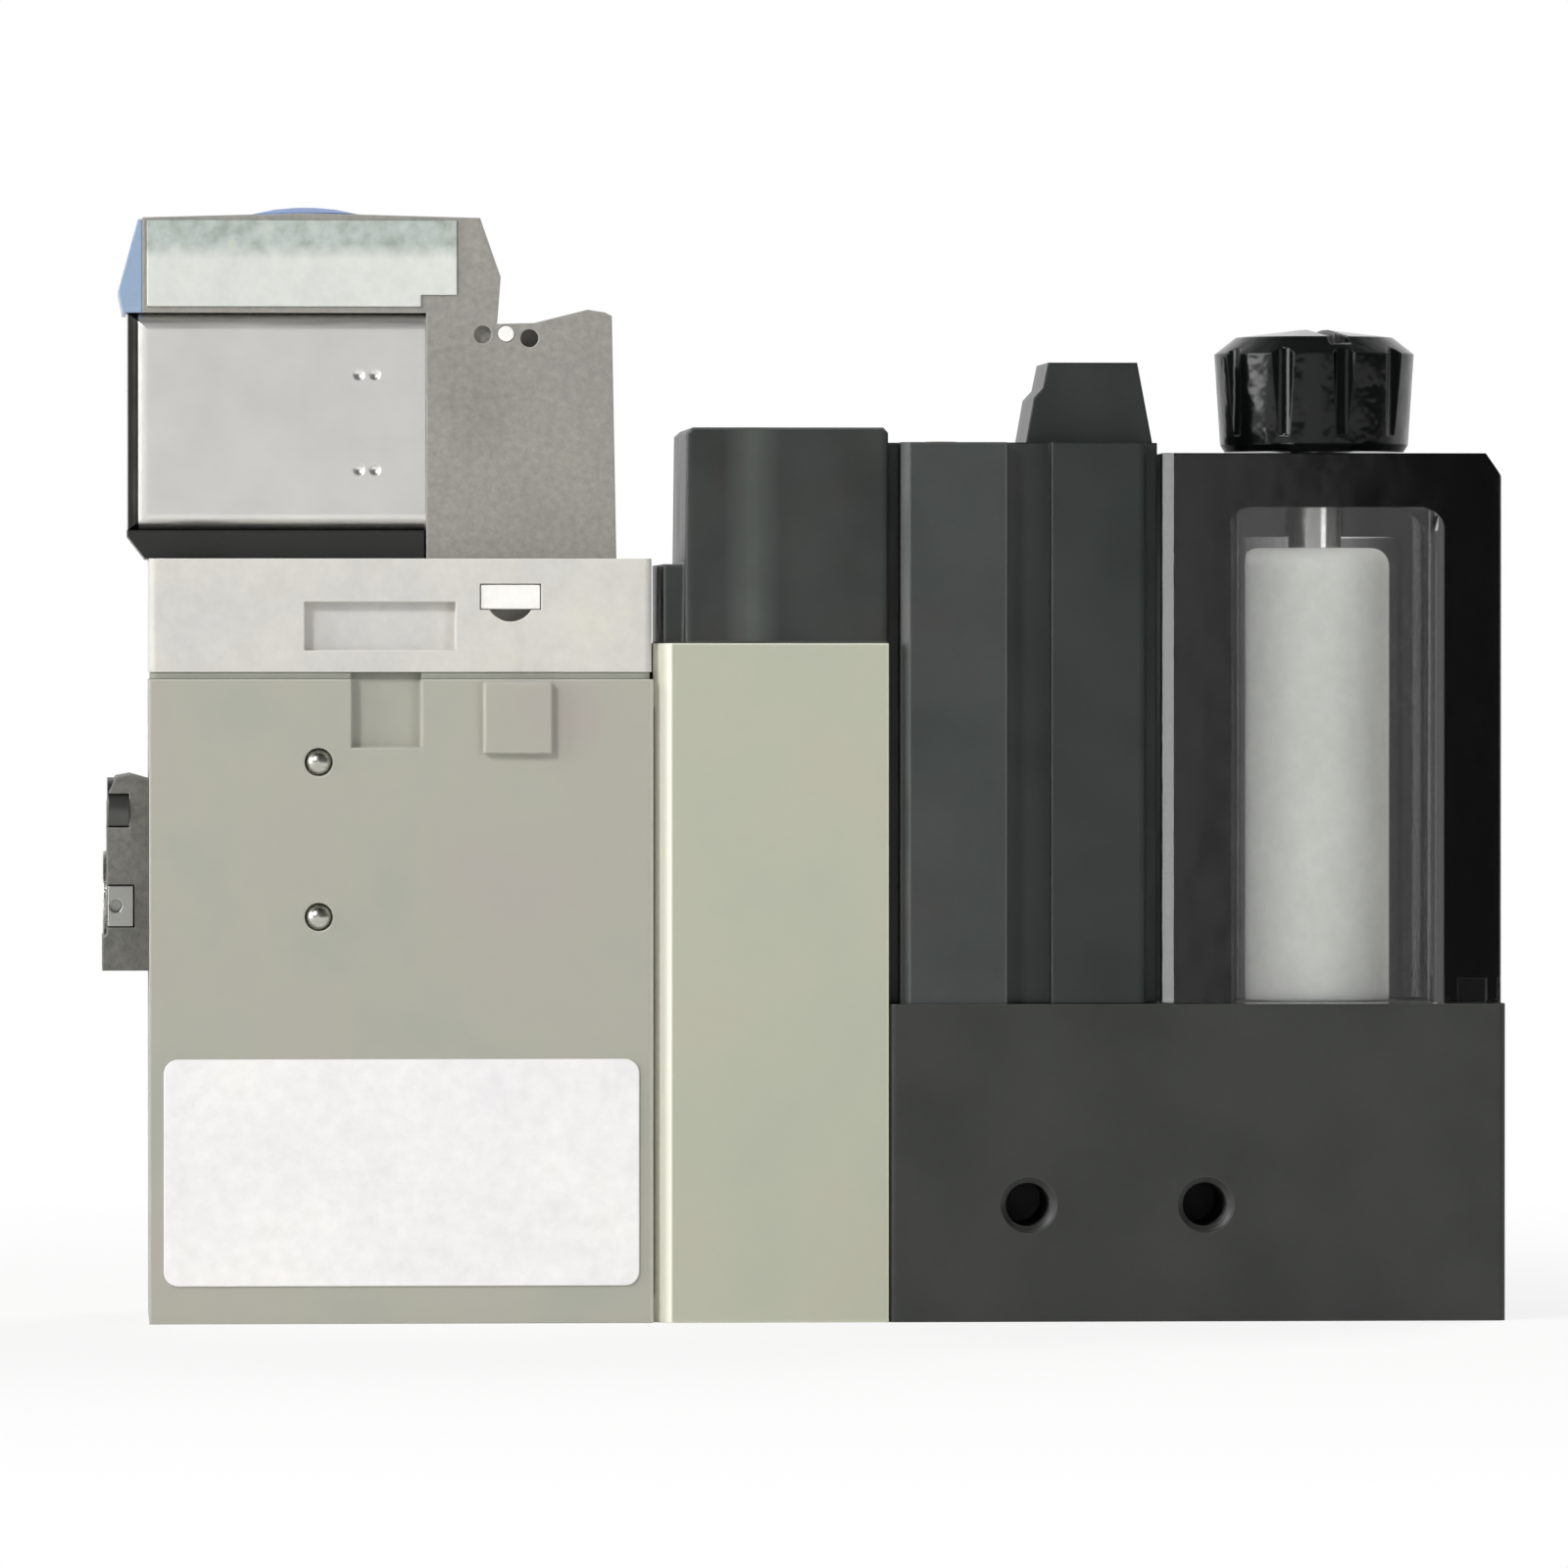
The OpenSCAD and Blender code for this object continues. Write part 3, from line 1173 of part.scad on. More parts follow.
module filter_case() {
    cut = 1.3;
    color("#2c2e2d") difference() {
        intersection() {
            translate([case_x, 0, base_h]) block(case_l, module_w, case_h);
            translate([case_x, 0, base_h]) side_plate(module_w + 2, [[0, 0], [case_l, 0],
                [case_l, case_h - cut], [case_l - cut * 0.7, case_h], [0, case_h]]);
        }
        translate([case_x, -module_w / 2, base_h - 1]) edge_flat(case_cut, case_h + 2);
        case_hollow();
        translate([filter_x, 0, base_h]) cylinder(r = bolt_r + pass_gap, h = case_h + 1);
        translate([filter_x, 0, case_top_z - knob_seat_depth])
            cylinder(r = knob_seal_r + knob_cord + 0.05, h = 2);
        translate([case_x + case_l - 0.7 - key_l, 0, base_h - 1]) box(key_l + 0.2, 6, 1 + 1.4);
    }
}

module case_seal() {
    color("#1a1a1a") translate([0, 0, base_h - case_seal_h]) case_ring(0, case_seal_h);
}

module filter_element() {
    soft = 1;
    color("#b1b4ae") translate([filter_x, 0, base_h + 0.05]) difference() {
        union() {
            cylinder(r = element_r, h = element_h - soft);
            translate([0, 0, element_h - soft]) cylinder(r = element_r - soft, h = soft);
            translate([0, 0, element_h - soft]) rotate_extrude() translate([element_r - soft, 0])
                intersection() {
                    circle(soft);
                    square(soft + 1);
                }
        }
        translate([0, 0, -1]) cylinder(r = bolt_r + 0.5, h = element_h + 2);
    }
}

module tension_bolt() {
    low = insert_z + 1;
    color("#c9c9c6") translate([filter_x, 0, low]) cylinder(r = bolt_r, h = knob_z + knob_h * 0.6 - low);
}

module knob() {
    flute_r = 0.75;
    color("#151918") translate([filter_x, 0, knob_z]) rotate(knob_turned) difference() {
        turned_z([[0, 0], [0, knob_r - 0.6], [0.4, knob_r - 0.35], [knob_h - 1.4, knob_r],
                  [knob_h - 0.45, knob_r - 1.2], [knob_h, 0.8], [knob_h, 0]]);
        for (i = [0:flute_count - 1]) rotate(360 * (i + 0.5) / flute_count)
            translate([knob_r + flute_r * 0.45, 0, 0.9]) cylinder(r = flute_r, h = knob_h);
        translate([-0.6, -knob_r, knob_h - 0.9]) cube([1.2, 2 * knob_r, 2]);
        translate([0, 0, -1]) cylinder(r = bolt_r, h = 1 + knob_h * 0.6);
    }
}

module knob_seal() {
    color("#1a1a1a") translate([filter_x, 0, case_top_z - knob_seat_depth + knob_cord + 0.02])
        o_ring(knob_seal_r, knob_cord);
}

valve_body();
valve_cap();
cap_gasket();
cap_latch();
name_label();
ball_plugs();
small_screws();
spool();
spool_seals();
spool_spring();
release_poppet();
release_spring();
port_block();
port_bush();
bush_clip();
release_needle();
needle_seal();
tie_screws();
joint_screw();
joint_gasket();
ejector_body();
nozzle();
diffuser();
o_rings();
silencer_cover();
silencer_element();
silencer_screws();
pilot_plate();
pilot_body();
solenoid_can();
coil_bobbin();
coil_winding();
fixed_core();
armature();
pilot_poppet();
poppet_spring();
override_button();
override_ring();
override_spring();
end_plate();
pilot_label();
surge_board();
contact_pins();
indicator_lens();
pilot_screws();
base_manifold();
check_disc();
bolt_insert();
switch_body();
switch_lid();
switch_board();
pressure_sensor();
setting_trimmer();
switch_lens();
filter_case();
case_seal();
filter_element();
tension_bolt();
knob();
knob_seal();
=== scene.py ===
"""Compact vacuum ejector: finishes for the nodes of the CAD model, with cut threads and wound springs added to it."""
import math
import json
import bpy
import numpy as np
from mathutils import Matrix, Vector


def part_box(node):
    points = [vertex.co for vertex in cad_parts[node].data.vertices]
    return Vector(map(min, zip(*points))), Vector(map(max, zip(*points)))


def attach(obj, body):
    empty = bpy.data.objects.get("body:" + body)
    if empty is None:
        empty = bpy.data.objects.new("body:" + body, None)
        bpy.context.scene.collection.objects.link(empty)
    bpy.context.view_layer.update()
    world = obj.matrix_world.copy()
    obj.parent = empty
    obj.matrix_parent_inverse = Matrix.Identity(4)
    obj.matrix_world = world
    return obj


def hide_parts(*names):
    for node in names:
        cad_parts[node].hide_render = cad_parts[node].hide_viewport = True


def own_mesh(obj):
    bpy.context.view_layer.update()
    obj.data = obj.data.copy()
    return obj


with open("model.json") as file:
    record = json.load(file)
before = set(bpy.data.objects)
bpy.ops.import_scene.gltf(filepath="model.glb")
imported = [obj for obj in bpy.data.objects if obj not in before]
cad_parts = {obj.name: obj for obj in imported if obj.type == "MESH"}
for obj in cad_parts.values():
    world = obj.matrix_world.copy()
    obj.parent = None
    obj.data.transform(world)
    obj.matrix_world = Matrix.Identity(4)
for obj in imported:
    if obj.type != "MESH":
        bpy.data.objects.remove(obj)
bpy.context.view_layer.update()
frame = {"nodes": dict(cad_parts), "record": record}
cad = frame["nodes"]

# ---------------------------------------------------------------------------
# The studio: a matt white table that fades to plain white away from the unit, a white wall behind it, and a dim room
# in front with one bright card beside the camera. The key lamp and an upright strip lamp stand on the left, a fill
# lamp on the right and one lamp behind. The camera has a long lens.
# ---------------------------------------------------------------------------


def linear(colour):
    """Linear light of an sRGB hex colour: c/12.92 below 0.04045, and ((c + 0.055) / 1.055) to the 2.4 above."""
    parts = [int(colour[i:i + 2], 16) / 255 for i in (1, 3, 5)]
    return tuple(c / 12.92 if c <= 0.04045 else ((c + 0.055) / 1.055) ** 2.4 for c in parts) + (1.0,)


def add(material, kind, sockets=(), **settings):
    """Adds one shader node with its settings. An input in sockets takes a value, or the output that it is given."""
    tree = material.node_tree
    node = tree.nodes.new("ShaderNode" + kind)
    for key, value in settings.items():
        setattr(node, key, value)
    for key, value in dict(sockets).items():
        if isinstance(value, bpy.types.NodeSocket):
            tree.links.new(value, node.inputs[key])
        else:
            node.inputs[key].default_value = value
    return node


def blank(name):
    """A material with an empty node tree and its output."""
    material = bpy.data.materials.new(name)
    material.use_nodes = True
    material.node_tree.nodes.clear()
    return material, material.node_tree.nodes.new("ShaderNodeOutputMaterial")


half = 0.5  # half the table's width, in metres
floor_mesh = bpy.data.meshes.new("studio_floor")
floor_mesh.from_pydata([(-half, -half, 0), (half, -half, 0), (half, half, 0), (-half, half, 0)], [], [(0, 1, 2, 3)])
floor = bpy.data.objects.new("studio_floor", floor_mesh)
bpy.context.scene.collection.objects.link(floor)

# The table glows for direct and refracted views, by 80% near the unit, where its shadow still shows, up to 100%.
# A mirror image of it has 30% of that glow, so that the undersides of chamfers stay dark.
sweep, sweep_out = blank("white studio sweep")
path = add(sweep, "LightPath")
board = add(sweep, "BsdfDiffuse", {"Color": linear("#f2f2f0")})
glow = add(sweep, "Emission", {"Color": (1, 1, 1, 1), "Strength": 1.0})
away = add(sweep, "VectorMath", {0: add(sweep, "TexCoord").outputs["Object"]}, operation="LENGTH")
fade = add(sweep, "MapRange", {"Value": away.outputs["Value"], "From Min": 0.05, "From Max": 0.16,
                               "To Min": 0.80, "To Max": 1.0})
mirrored = add(sweep, "Math", {0: path.outputs["Is Glossy Ray"], 1: 0.3}, operation="MULTIPLY")
direct = add(sweep, "Math", {0: path.outputs["Is Camera Ray"], 1: path.outputs["Is Transmission Ray"]},
             operation="MAXIMUM")
lit = add(sweep, "Math", {0: direct.outputs[0], 1: mirrored.outputs[0]}, operation="MAXIMUM")
seen = add(sweep, "Math", {0: lit.outputs[0], 1: fade.outputs[0]}, operation="MULTIPLY")
both = add(sweep, "MixShader", {0: seen.outputs[0], 1: board.outputs[0], 2: glow.outputs[0]})
sweep.node_tree.links.new(both.outputs[0], sweep_out.inputs["Surface"])
floor_mesh.materials.append(sweep)

# The room as gloss mirrors it: a white wall behind that darkens overhead, a tenth of that in front, and a round card
# 11 to 12 degrees in radius. Matt surfaces get an even 27%, and direct and refracted views get plain white.
scene = bpy.context.scene
scene.view_settings.view_transform = "Standard"
world = bpy.data.worlds.new("studio world")
scene.world = world
world.use_nodes = True
world.node_tree.nodes.clear()
world_out = world.node_tree.nodes.new("ShaderNodeOutputWorld")
ray = add(world, "LightPath")
way = add(world, "SeparateXYZ", {0: add(world, "TexCoord").outputs["Generated"]})
behind = add(world, "MapRange", {"Value": way.outputs["Y"], "From Min": -0.2, "From Max": 0.3,
                                 "To Min": 0.10, "To Max": 1.0})
overhead = add(world, "MapRange", {"Value": way.outputs["Z"], "From Min": 0.5, "From Max": 0.9,
                                   "To Min": 1.0, "To Max": 0.15})
back_wall = add(world, "Math", {0: behind.outputs[0], 1: overhead.outputs[0]}, operation="MULTIPLY")
card_centre = (-0.108, -0.994, 0.0)
card_way = add(world, "VectorMath", {0: add(world, "TexCoord").outputs["Generated"], 1: card_centre},
               operation="DOT_PRODUCT")
card = add(world, "MapRange", {"Value": card_way.outputs["Value"], "From Min": 0.9765, "From Max": 0.981,
                               "To Min": 0.0, "To Max": 0.92})
front = add(world, "Math", {0: back_wall.outputs[0], 1: card.outputs[0]}, operation="MAXIMUM")
dim = add(world, "Mix", {"Factor": ray.outputs["Is Glossy Ray"], "A": 0.27, "B": front.outputs[0]},
          data_type="FLOAT")
clear = add(world, "Math", {0: ray.outputs["Is Camera Ray"], 1: ray.outputs["Is Transmission Ray"]},
            operation="MAXIMUM")
level = add(world, "Mix", {"Factor": clear.outputs[0], "A": dim.outputs[0], "B": 1.0}, data_type="FLOAT")
sky = add(world, "Background", {"Color": (1, 1, 1, 1), "Strength": level.outputs[0]})
world.node_tree.links.new(sky.outputs[0], world_out.inputs["Surface"])

# Each lamp's place, width and height in metres, and its power in watts. All face the middle of the unit. The strip's
# mirror image draws the bright lines on upright edges, and the fill and rear lamps leave no mirror image.
lamp_stand = {"key": ((-0.52, -0.62, 0.50), 0.16, 0.16, 3.9), "strip": ((-0.68, -0.17, 0.05), 0.30, 0.7, 4.3),
              "fill": ((0.6, -0.8, 0.2), 0.4, 0.6, 2.8), "rear": ((0.5, 0.7, 0.45), 0.5, 0.5, 5.0)}
for lamp_name, (place, width, height, power) in lamp_stand.items():
    lamp = bpy.data.lights.new(lamp_name, "AREA")
    lamp.shape, lamp.size, lamp.size_y, lamp.energy = "RECTANGLE", width, height, power
    holder = bpy.data.objects.new(lamp_name, lamp)
    holder.location = place
    holder.rotation_euler = (Vector((0, 0, 0.03)) - Vector(place)).to_track_quat("-Z", "Y").to_euler()
    holder.visible_glossy = lamp_name not in ("fill", "rear")
    scene.collection.objects.link(holder)

camera = bpy.data.cameras.new("long lens")
camera.lens = 289.0
camera.sensor_width = 36
camera.clip_start, camera.clip_end = 0.05, 20
viewer = bpy.data.objects.new("long lens", camera)
scene.collection.objects.link(viewer)
aim = Vector((-0.00124, -0.00775, 0.02997))
turn, rise, reach = math.radians(-3.2), math.radians(0.6), 0.7
back = Vector((math.sin(turn) * math.cos(rise), -math.cos(turn) * math.cos(rise), math.sin(rise)))
viewer.location = aim + back * reach
viewer.rotation_euler = (-back).to_track_quat("-Z", "Y").to_euler()
scene.camera = viewer

# ---------------------------------------------------------------------------
# Bodies of the valve block and the ejector block: zinc die castings, tumbled and coated with a satin paint in warm
# light grey, laid on thinly. The ejector body is tinted greener than the valve body, and its chamfers carry a nearly
# white painted highlight. Tie screws hold them together.
# ---------------------------------------------------------------------------


def mottle(material, coords, colours, size_mm, detail=3.0):
    """Slow change of tint: noise of the given size picks along a ramp of the colours."""
    noise = add(material, "TexNoise", {"Vector": coords, "Scale": 1000 / size_mm, "Detail": detail, "Roughness": 0.55})
    ramp = add(material, "ValToRGB", {"Fac": noise.outputs["Fac"]})
    bar = ramp.color_ramp
    while len(bar.elements) < len(colours):
        bar.elements.new(0.5)
    for k, colour in enumerate(colours):
        bar.elements[k].position = 0.3 + 0.4 * k / (len(colours) - 1)
        bar.elements[k].color = linear(colour)
    return ramp.outputs["Color"]


def edge_mask(material, radius_mm, low=0.002, high=0.12):
    """1 along sharp outer edges and 0 on flats, from how far a bevelled normal leans away from the true one. Also
    the bevelled normal, which rounds the edges by that radius."""
    soft = add(material, "Bevel", {"Radius": radius_mm / 1000}, samples=6)
    flat = add(material, "NewGeometry")
    lean = add(material, "VectorMath", {0: soft.outputs[0], 1: flat.outputs["Normal"]}, operation="DOT_PRODUCT")
    mask = add(material, "MapRange", {"Value": lean.outputs["Value"], "From Min": 1 - low, "From Max": 1 - high,
                                      "To Min": 0.0, "To Max": 1.0})
    return mask.outputs[0], soft.outputs[0]


def painted_casting(name, tints, edge_colour):
    """Satin paint on a casting: slow tint changes of 9 mm, orange peel of 0.5 mm and fine grit of 0.12 mm. The edge
    colour shows on edges, where the paint wears thinnest, and as a painted highlight on faces that slope between the
    axes, which are chamfers."""
    paint, out = blank(name)
    coords = add(paint, "TexCoord").outputs["Object"]
    tint = mottle(paint, coords, tints, size_mm=9)
    edge, rounded = edge_mask(paint, radius_mm=0.22)
    lean = add(paint, "VectorMath", {0: add(paint, "NewGeometry").outputs["True Normal"]}, operation="ABSOLUTE")
    part = add(paint, "SeparateXYZ", {0: lean.outputs[0]})
    level_most = add(paint, "Math", {0: part.outputs[0], 1: part.outputs[1]}, operation="MAXIMUM")
    most = add(paint, "Math", {0: level_most.outputs[0], 1: part.outputs[2]}, operation="MAXIMUM")
    # Faces that slope between the axes, the chamfers, get the edge colour as a painted highlight.
    chamfer_highlight = add(paint, "MapRange", {"Value": most.outputs[0], "From Min": 0.95, "From Max": 0.75,
                                      "To Min": 0.0, "To Max": 1.0})
    wear_and_highlight = add(paint, "Math", {0: edge, 1: chamfer_highlight.outputs[0]}, operation="MAXIMUM")
    colour = add(paint, "Mix", {"Factor": wear_and_highlight.outputs[0], "A": tint, "B": linear(edge_colour)}, data_type="RGBA")
    peel = add(paint, "TexNoise", {"Vector": coords, "Scale": 1000 / 0.5, "Detail": 2.0})
    grit = add(paint, "TexNoise", {"Vector": coords, "Scale": 1000 / 0.12, "Detail": 1.0})
    skin = add(paint, "Mix", {"Factor": 0.35, "A": peel.outputs["Fac"], "B": grit.outputs["Fac"]}, data_type="FLOAT")
    bump = add(paint, "Bump", {"Strength": 0.22, "Distance": 0.00003, "Height": skin.outputs[0], "Normal": rounded})
    sheen = add(paint, "MapRange", {"Value": peel.outputs["Fac"], "To Min": 0.42, "To Max": 0.56})
    shader = add(paint, "BsdfPrincipled", {"Base Color": colour.outputs[2], "Roughness": sheen.outputs[0],
                                           "Normal": bump.outputs[0], "IOR": 1.5})
    paint.node_tree.links.new(shader.outputs[0], out.inputs["Surface"])
    return paint


def dress(material, *names):
    """Puts the material on each CAD node named."""
    for name in names:
        if not cad[name].material_slots:
            cad[name].data.materials.append(material)
        for slot in cad[name].material_slots:
            slot.material = material


# The edge colour is edge wear and also a painted highlight on the chamfers, nearly white on the ejector body.
dress(painted_casting("satin grey paint on a zinc casting", ("#a4a69b", "#aaa99d", "#aca69e"), edge_colour="#c6c5bb"),
      "valve_body")
dress(painted_casting("satin green-grey paint on a zinc casting", ("#afb1a1", "#b2b4a2", "#b5b2a2"),
                      edge_colour="#ecebdc"), "ejector_body")

# ---------------------------------------------------------------------------
# Cap of the valve block: a light grey PBT moulding held by small screws under the pilot valve, with a snapped-in
# white latch. Grey rubber gaskets lie under it and between the blocks. The label on the body is a white film stuck
# into its recess, and bare.
# ---------------------------------------------------------------------------


def moulded_plastic(name, tints, grain_mm=0.15, roughness=0.45, bump_height=0.00002, edge_colour=None, radius_mm=0.15,
                    sink_height=0.0, soft_mm=0.0, fleck_mm=0.9, fleck_depth=0.05, specular=0.5):
    """Moulding with the tool's spark grain: tint changes of 7 mm, flecks that lighten and darken it by fleck_depth,
    and a grain of the given size in bump and gloss, with edges that wear to their own colour.
    sink_height is how deep its faces sink and swell over 9 mm, and soft_mm how far light spreads inside it."""
    plastic, out = blank(name)
    coords = add(plastic, "TexCoord").outputs["Object"]
    fleck = add(plastic, "TexNoise", {"Vector": coords, "Scale": 1000 / fleck_mm, "Detail": 4.0, "Roughness": 0.7})
    shade = add(plastic, "MapRange", {"Value": fleck.outputs["Fac"], "From Min": 0.3, "From Max": 0.7,
                                      "To Min": 1 - fleck_depth, "To Max": 1 + fleck_depth})
    tint = add(plastic, "VectorMath", {0: mottle(plastic, coords, tints, size_mm=7), "Scale": shade.outputs[0]},
               operation="SCALE").outputs[0]
    edge, rounded = edge_mask(plastic, radius_mm)
    colour = add(plastic, "Mix", {"Factor": edge, "A": tint, "B": linear(edge_colour or tints[-1])}, data_type="RGBA")
    grain = add(plastic, "TexNoise", {"Vector": coords, "Scale": 1000 / grain_mm, "Detail": 2.0})
    sink = add(plastic, "TexNoise", {"Vector": coords, "Scale": 1000 / 9, "Detail": 1.0})
    swell = add(plastic, "Bump", {"Strength": 1.0, "Distance": sink_height, "Height": sink.outputs["Fac"],
                                  "Normal": rounded})
    bump = add(plastic, "Bump", {"Strength": 0.3, "Distance": bump_height, "Height": grain.outputs["Fac"],
                                 "Normal": swell.outputs[0]})
    gloss = add(plastic, "MapRange", {"Value": grain.outputs["Fac"], "To Min": roughness - 0.06,
                                      "To Max": roughness + 0.06})
    shader = add(plastic, "BsdfPrincipled", {"Base Color": colour.outputs[2], "Roughness": gloss.outputs[0],
                                             "Normal": bump.outputs[0], "IOR": 1.53, "Specular IOR Level": specular,
                                             "Subsurface Weight": 1.0 if soft_mm else 0.0,
                                             "Subsurface Scale": soft_mm / 1000,
                                             "Subsurface Radius": (1.0, 1.0, 1.0)})
    plastic.node_tree.links.new(shader.outputs[0], out.inputs["Surface"])
    return plastic


white_acetal = moulded_plastic("white acetal moulding", ("#f3f1ec", "#f7f5f1"), roughness=0.3)
dress(moulded_plastic("light grey PBT moulding", ("#c9c8c5", "#cdcbc5", "#d4d1c7"), edge_colour="#e9e7df"), "valve_cap")
dress(white_acetal, "cap_latch")
dress(moulded_plastic("light grey nitrile rubber", ("#8d8e84", "#96978c"), grain_mm=0.1, roughness=0.7),
      "cap_gasket", "joint_gasket")
dress(moulded_plastic("white polyester label film", ("#ebe9ea", "#efeded", "#f1efec"), grain_mm=0.08, roughness=0.4,
                      bump_height=0.000006, edge_colour="#fbfafa"), "name_label")

# ---------------------------------------------------------------------------
# Working pieces of the valve block: a turned aluminium spool and brass release poppet in reamed bores, steel balls
# pressed into the cross drillings, and rubber seals in their grooves. Black zinc-plated screws hold the cap, the
# joint and the pilot valve.
# ---------------------------------------------------------------------------


def worked_metal(name, tints, roughness, stretch=(1, 1, 1), line_mm=0.12, bump_height=0.000004, edge_colour=None):
    """Bare or plated metal: tool lines of the given spacing, drawn out along the axes in stretch, on tint changes of
    5 mm, with edges 0.12 mm round."""
    metal, out = blank(name)
    coords = add(metal, "TexCoord").outputs["Object"]
    drawn = add(metal, "Mapping", {"Vector": coords, "Scale": stretch})
    tint = mottle(metal, coords, tints, size_mm=5)
    edge, rounded = edge_mask(metal, radius_mm=0.12)
    colour = add(metal, "Mix", {"Factor": edge, "A": tint, "B": linear(edge_colour or tints[-1])}, data_type="RGBA")
    lines = add(metal, "TexNoise", {"Vector": drawn.outputs[0], "Scale": 1000 / line_mm, "Detail": 2.0})
    bump = add(metal, "Bump", {"Strength": 0.25, "Distance": bump_height, "Height": lines.outputs["Fac"],
                               "Normal": rounded})
    gloss = add(metal, "MapRange", {"Value": lines.outputs["Fac"], "To Min": roughness - 0.07,
                                    "To Max": roughness + 0.09})
    shader = add(metal, "BsdfPrincipled", {"Base Color": colour.outputs[2], "Roughness": gloss.outputs[0],
                                           "Metallic": 1.0, "Normal": bump.outputs[0]})
    metal.node_tree.links.new(shader.outputs[0], out.inputs["Surface"])
    return metal


turned_aluminium = worked_metal("turned aluminium", ("#a0a19e", "#adaeab"), roughness=0.3, stretch=(1, 1, 0.2))
turned_brass = worked_metal("turned brass", ("#bf9f4c", "#c8a850"), roughness=0.28, stretch=(1, 1, 0.2))
nitrile = moulded_plastic("matt nitrile rubber", ("#1c1c1b", "#262625"), grain_mm=0.1, roughness=0.7)
black_zinc = worked_metal("black zinc-plated steel", ("#5f5f5c", "#6b6b68"), roughness=0.36)
dress(turned_aluminium, "spool")
dress(turned_brass, "release_poppet")
dress(worked_metal("bearing steel dulled by pressing in", ("#c6c5bd", "#d0cfc7"), roughness=0.26), "ball_plugs")
dress(nitrile, "spool_seals", "o_rings")
dress(black_zinc, "small_screws", "tie_screws", "joint_screw")

# ---------------------------------------------------------------------------
# Port block: glass-filled nylon, rough from its fibres, screwed to the left end. A nickel-plated brass bush held by
# a stamped clip takes the supply fitting, and a turned brass needle with its seal sets the release flow.
# ---------------------------------------------------------------------------
dress(moulded_plastic("glass-filled port block", ("#5c5c57", "#66655f", "#6c6b66"), grain_mm=0.3, roughness=0.5,
                      bump_height=0.00005, edge_colour="#84837e", fleck_mm=0.5, fleck_depth=0.3), "port_block")
dress(worked_metal("nickel-plated brass", ("#bdbcb7", "#c8c7c2"), roughness=0.25), "port_bush")
dress(worked_metal("bright stamped steel", ("#b0b0ab", "#bcbcb7"), roughness=0.35), "bush_clip")
dress(turned_brass, "release_needle")
dress(nitrile, "needle_seal")

# ---------------------------------------------------------------------------
# Nozzle and silencer of the ejector block: a turned brass nozzle blows into an aluminium diffuser, and the air
# leaves through open-cell foam under a dark grey nylon cover, held by two zinc-plated screws. The cover's faces are
# slightly sunk, and a pale upright band of painted sheen runs down its front. Its light edges are wear and painted
# highlight.
# ---------------------------------------------------------------------------


def blend_along(material, axis, start, end, tints, size_mm, share=1.0, line=None):
    """Blends a second set of tints into the base colour, from none of it at start to the share at end, in metres.
    Where a line is given, start and end are distances from it."""
    coords = add(material, "TexCoord").outputs["Object"]
    place = add(material, "SeparateXYZ", {0: coords}).outputs[axis]
    if line is not None:
        gap = add(material, "Math", {0: place, 1: line}, operation="SUBTRACT")
        place = add(material, "Math", {0: gap.outputs[0]}, operation="ABSOLUTE").outputs[0]
    ramp = add(material, "MapRange", {"Value": place, "From Min": start, "From Max": end,
                                      "To Min": 0.0, "To Max": share})
    skin = next(node for node in material.node_tree.nodes if node.type == "BSDF_PRINCIPLED")
    colour = add(material, "Mix", {"Factor": ramp.outputs[0], "A": skin.inputs["Base Color"].links[0].from_socket,
                                   "B": mottle(material, coords, tints, size_mm)}, data_type="RGBA")
    material.node_tree.links.new(colour.outputs[2], skin.inputs["Base Color"])


# The cover's light grey edges are edge wear and also a painted highlight along them.
nylon_cover = moulded_plastic("dark grey nylon cover", ("#242725", "#2b2f2d", "#302f2c"), roughness=0.38,
                              edge_colour="#6a6e6c", radius_mm=0.28, sink_height=0.0012)
# Middle of the pale band of painted sheen on the cover's front.
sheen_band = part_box("silencer_cover")[0][0] + 0.0049  # in from the cover's left face
blend_along(nylon_cover, "X", start=0.0016, end=0.0002, tints=("#454a47", "#4e534f"), size_mm=3, share=0.9,
            line=sheen_band)
dress(nylon_cover, "silencer_cover")
dress(turned_brass, "nozzle")
dress(turned_aluminium, "diffuser")
dress(moulded_plastic("open-cell foam", ("#d9d6cc", "#e6e4dc"), grain_mm=0.35, roughness=0.85, bump_height=0.0002),
      "silencer_element")
zinc_plate = worked_metal("zinc-plated steel", ("#a3a3a0", "#b0afac"), roughness=0.32)
dress(zinc_plate, "silencer_screws")

# ---------------------------------------------------------------------------
# Pilot valve: a grey-brown moulding with a plug socket, on a black plate, held by two long screws. Its blue override
# button, pale blue end plate, white lens and tinned pins are pressed in, with a bare pearl label on its upper side
# that darkens into a band along its top.
# ---------------------------------------------------------------------------
black_acetal = moulded_plastic("black acetal moulding", ("#1b1b1a", "#20201f"), roughness=0.35)
solder_mask = moulded_plastic("green solder mask", ("#27613d", "#2f6b45"), grain_mm=0.4, roughness=0.3)
tinned_brass = worked_metal("tinned contact brass", ("#c4b26e", "#d0be7c"), roughness=0.25)
dress(black_acetal, "pilot_plate")
dress(moulded_plastic("grey-brown pilot moulding", ("#8b8982", "#92908a", "#97938b"), grain_mm=0.35, roughness=0.5,
                      bump_height=0.00005, edge_colour="#aeaca5", fleck_mm=0.45, fleck_depth=0.16), "pilot_body")
dress(moulded_plastic("blue acetal moulding", ("#3e72bb", "#4478c0"), roughness=0.3, edge_colour="#6f96c8"),
      "override_button")
dress(moulded_plastic("pale blue end plate", ("#8aa0bb", "#96abc3"), roughness=0.35, edge_colour="#a8bfdc"), "end_plate")
dress(white_acetal, "indicator_lens")
dress(solder_mask, "surge_board")
dress(tinned_brass, "contact_pins")
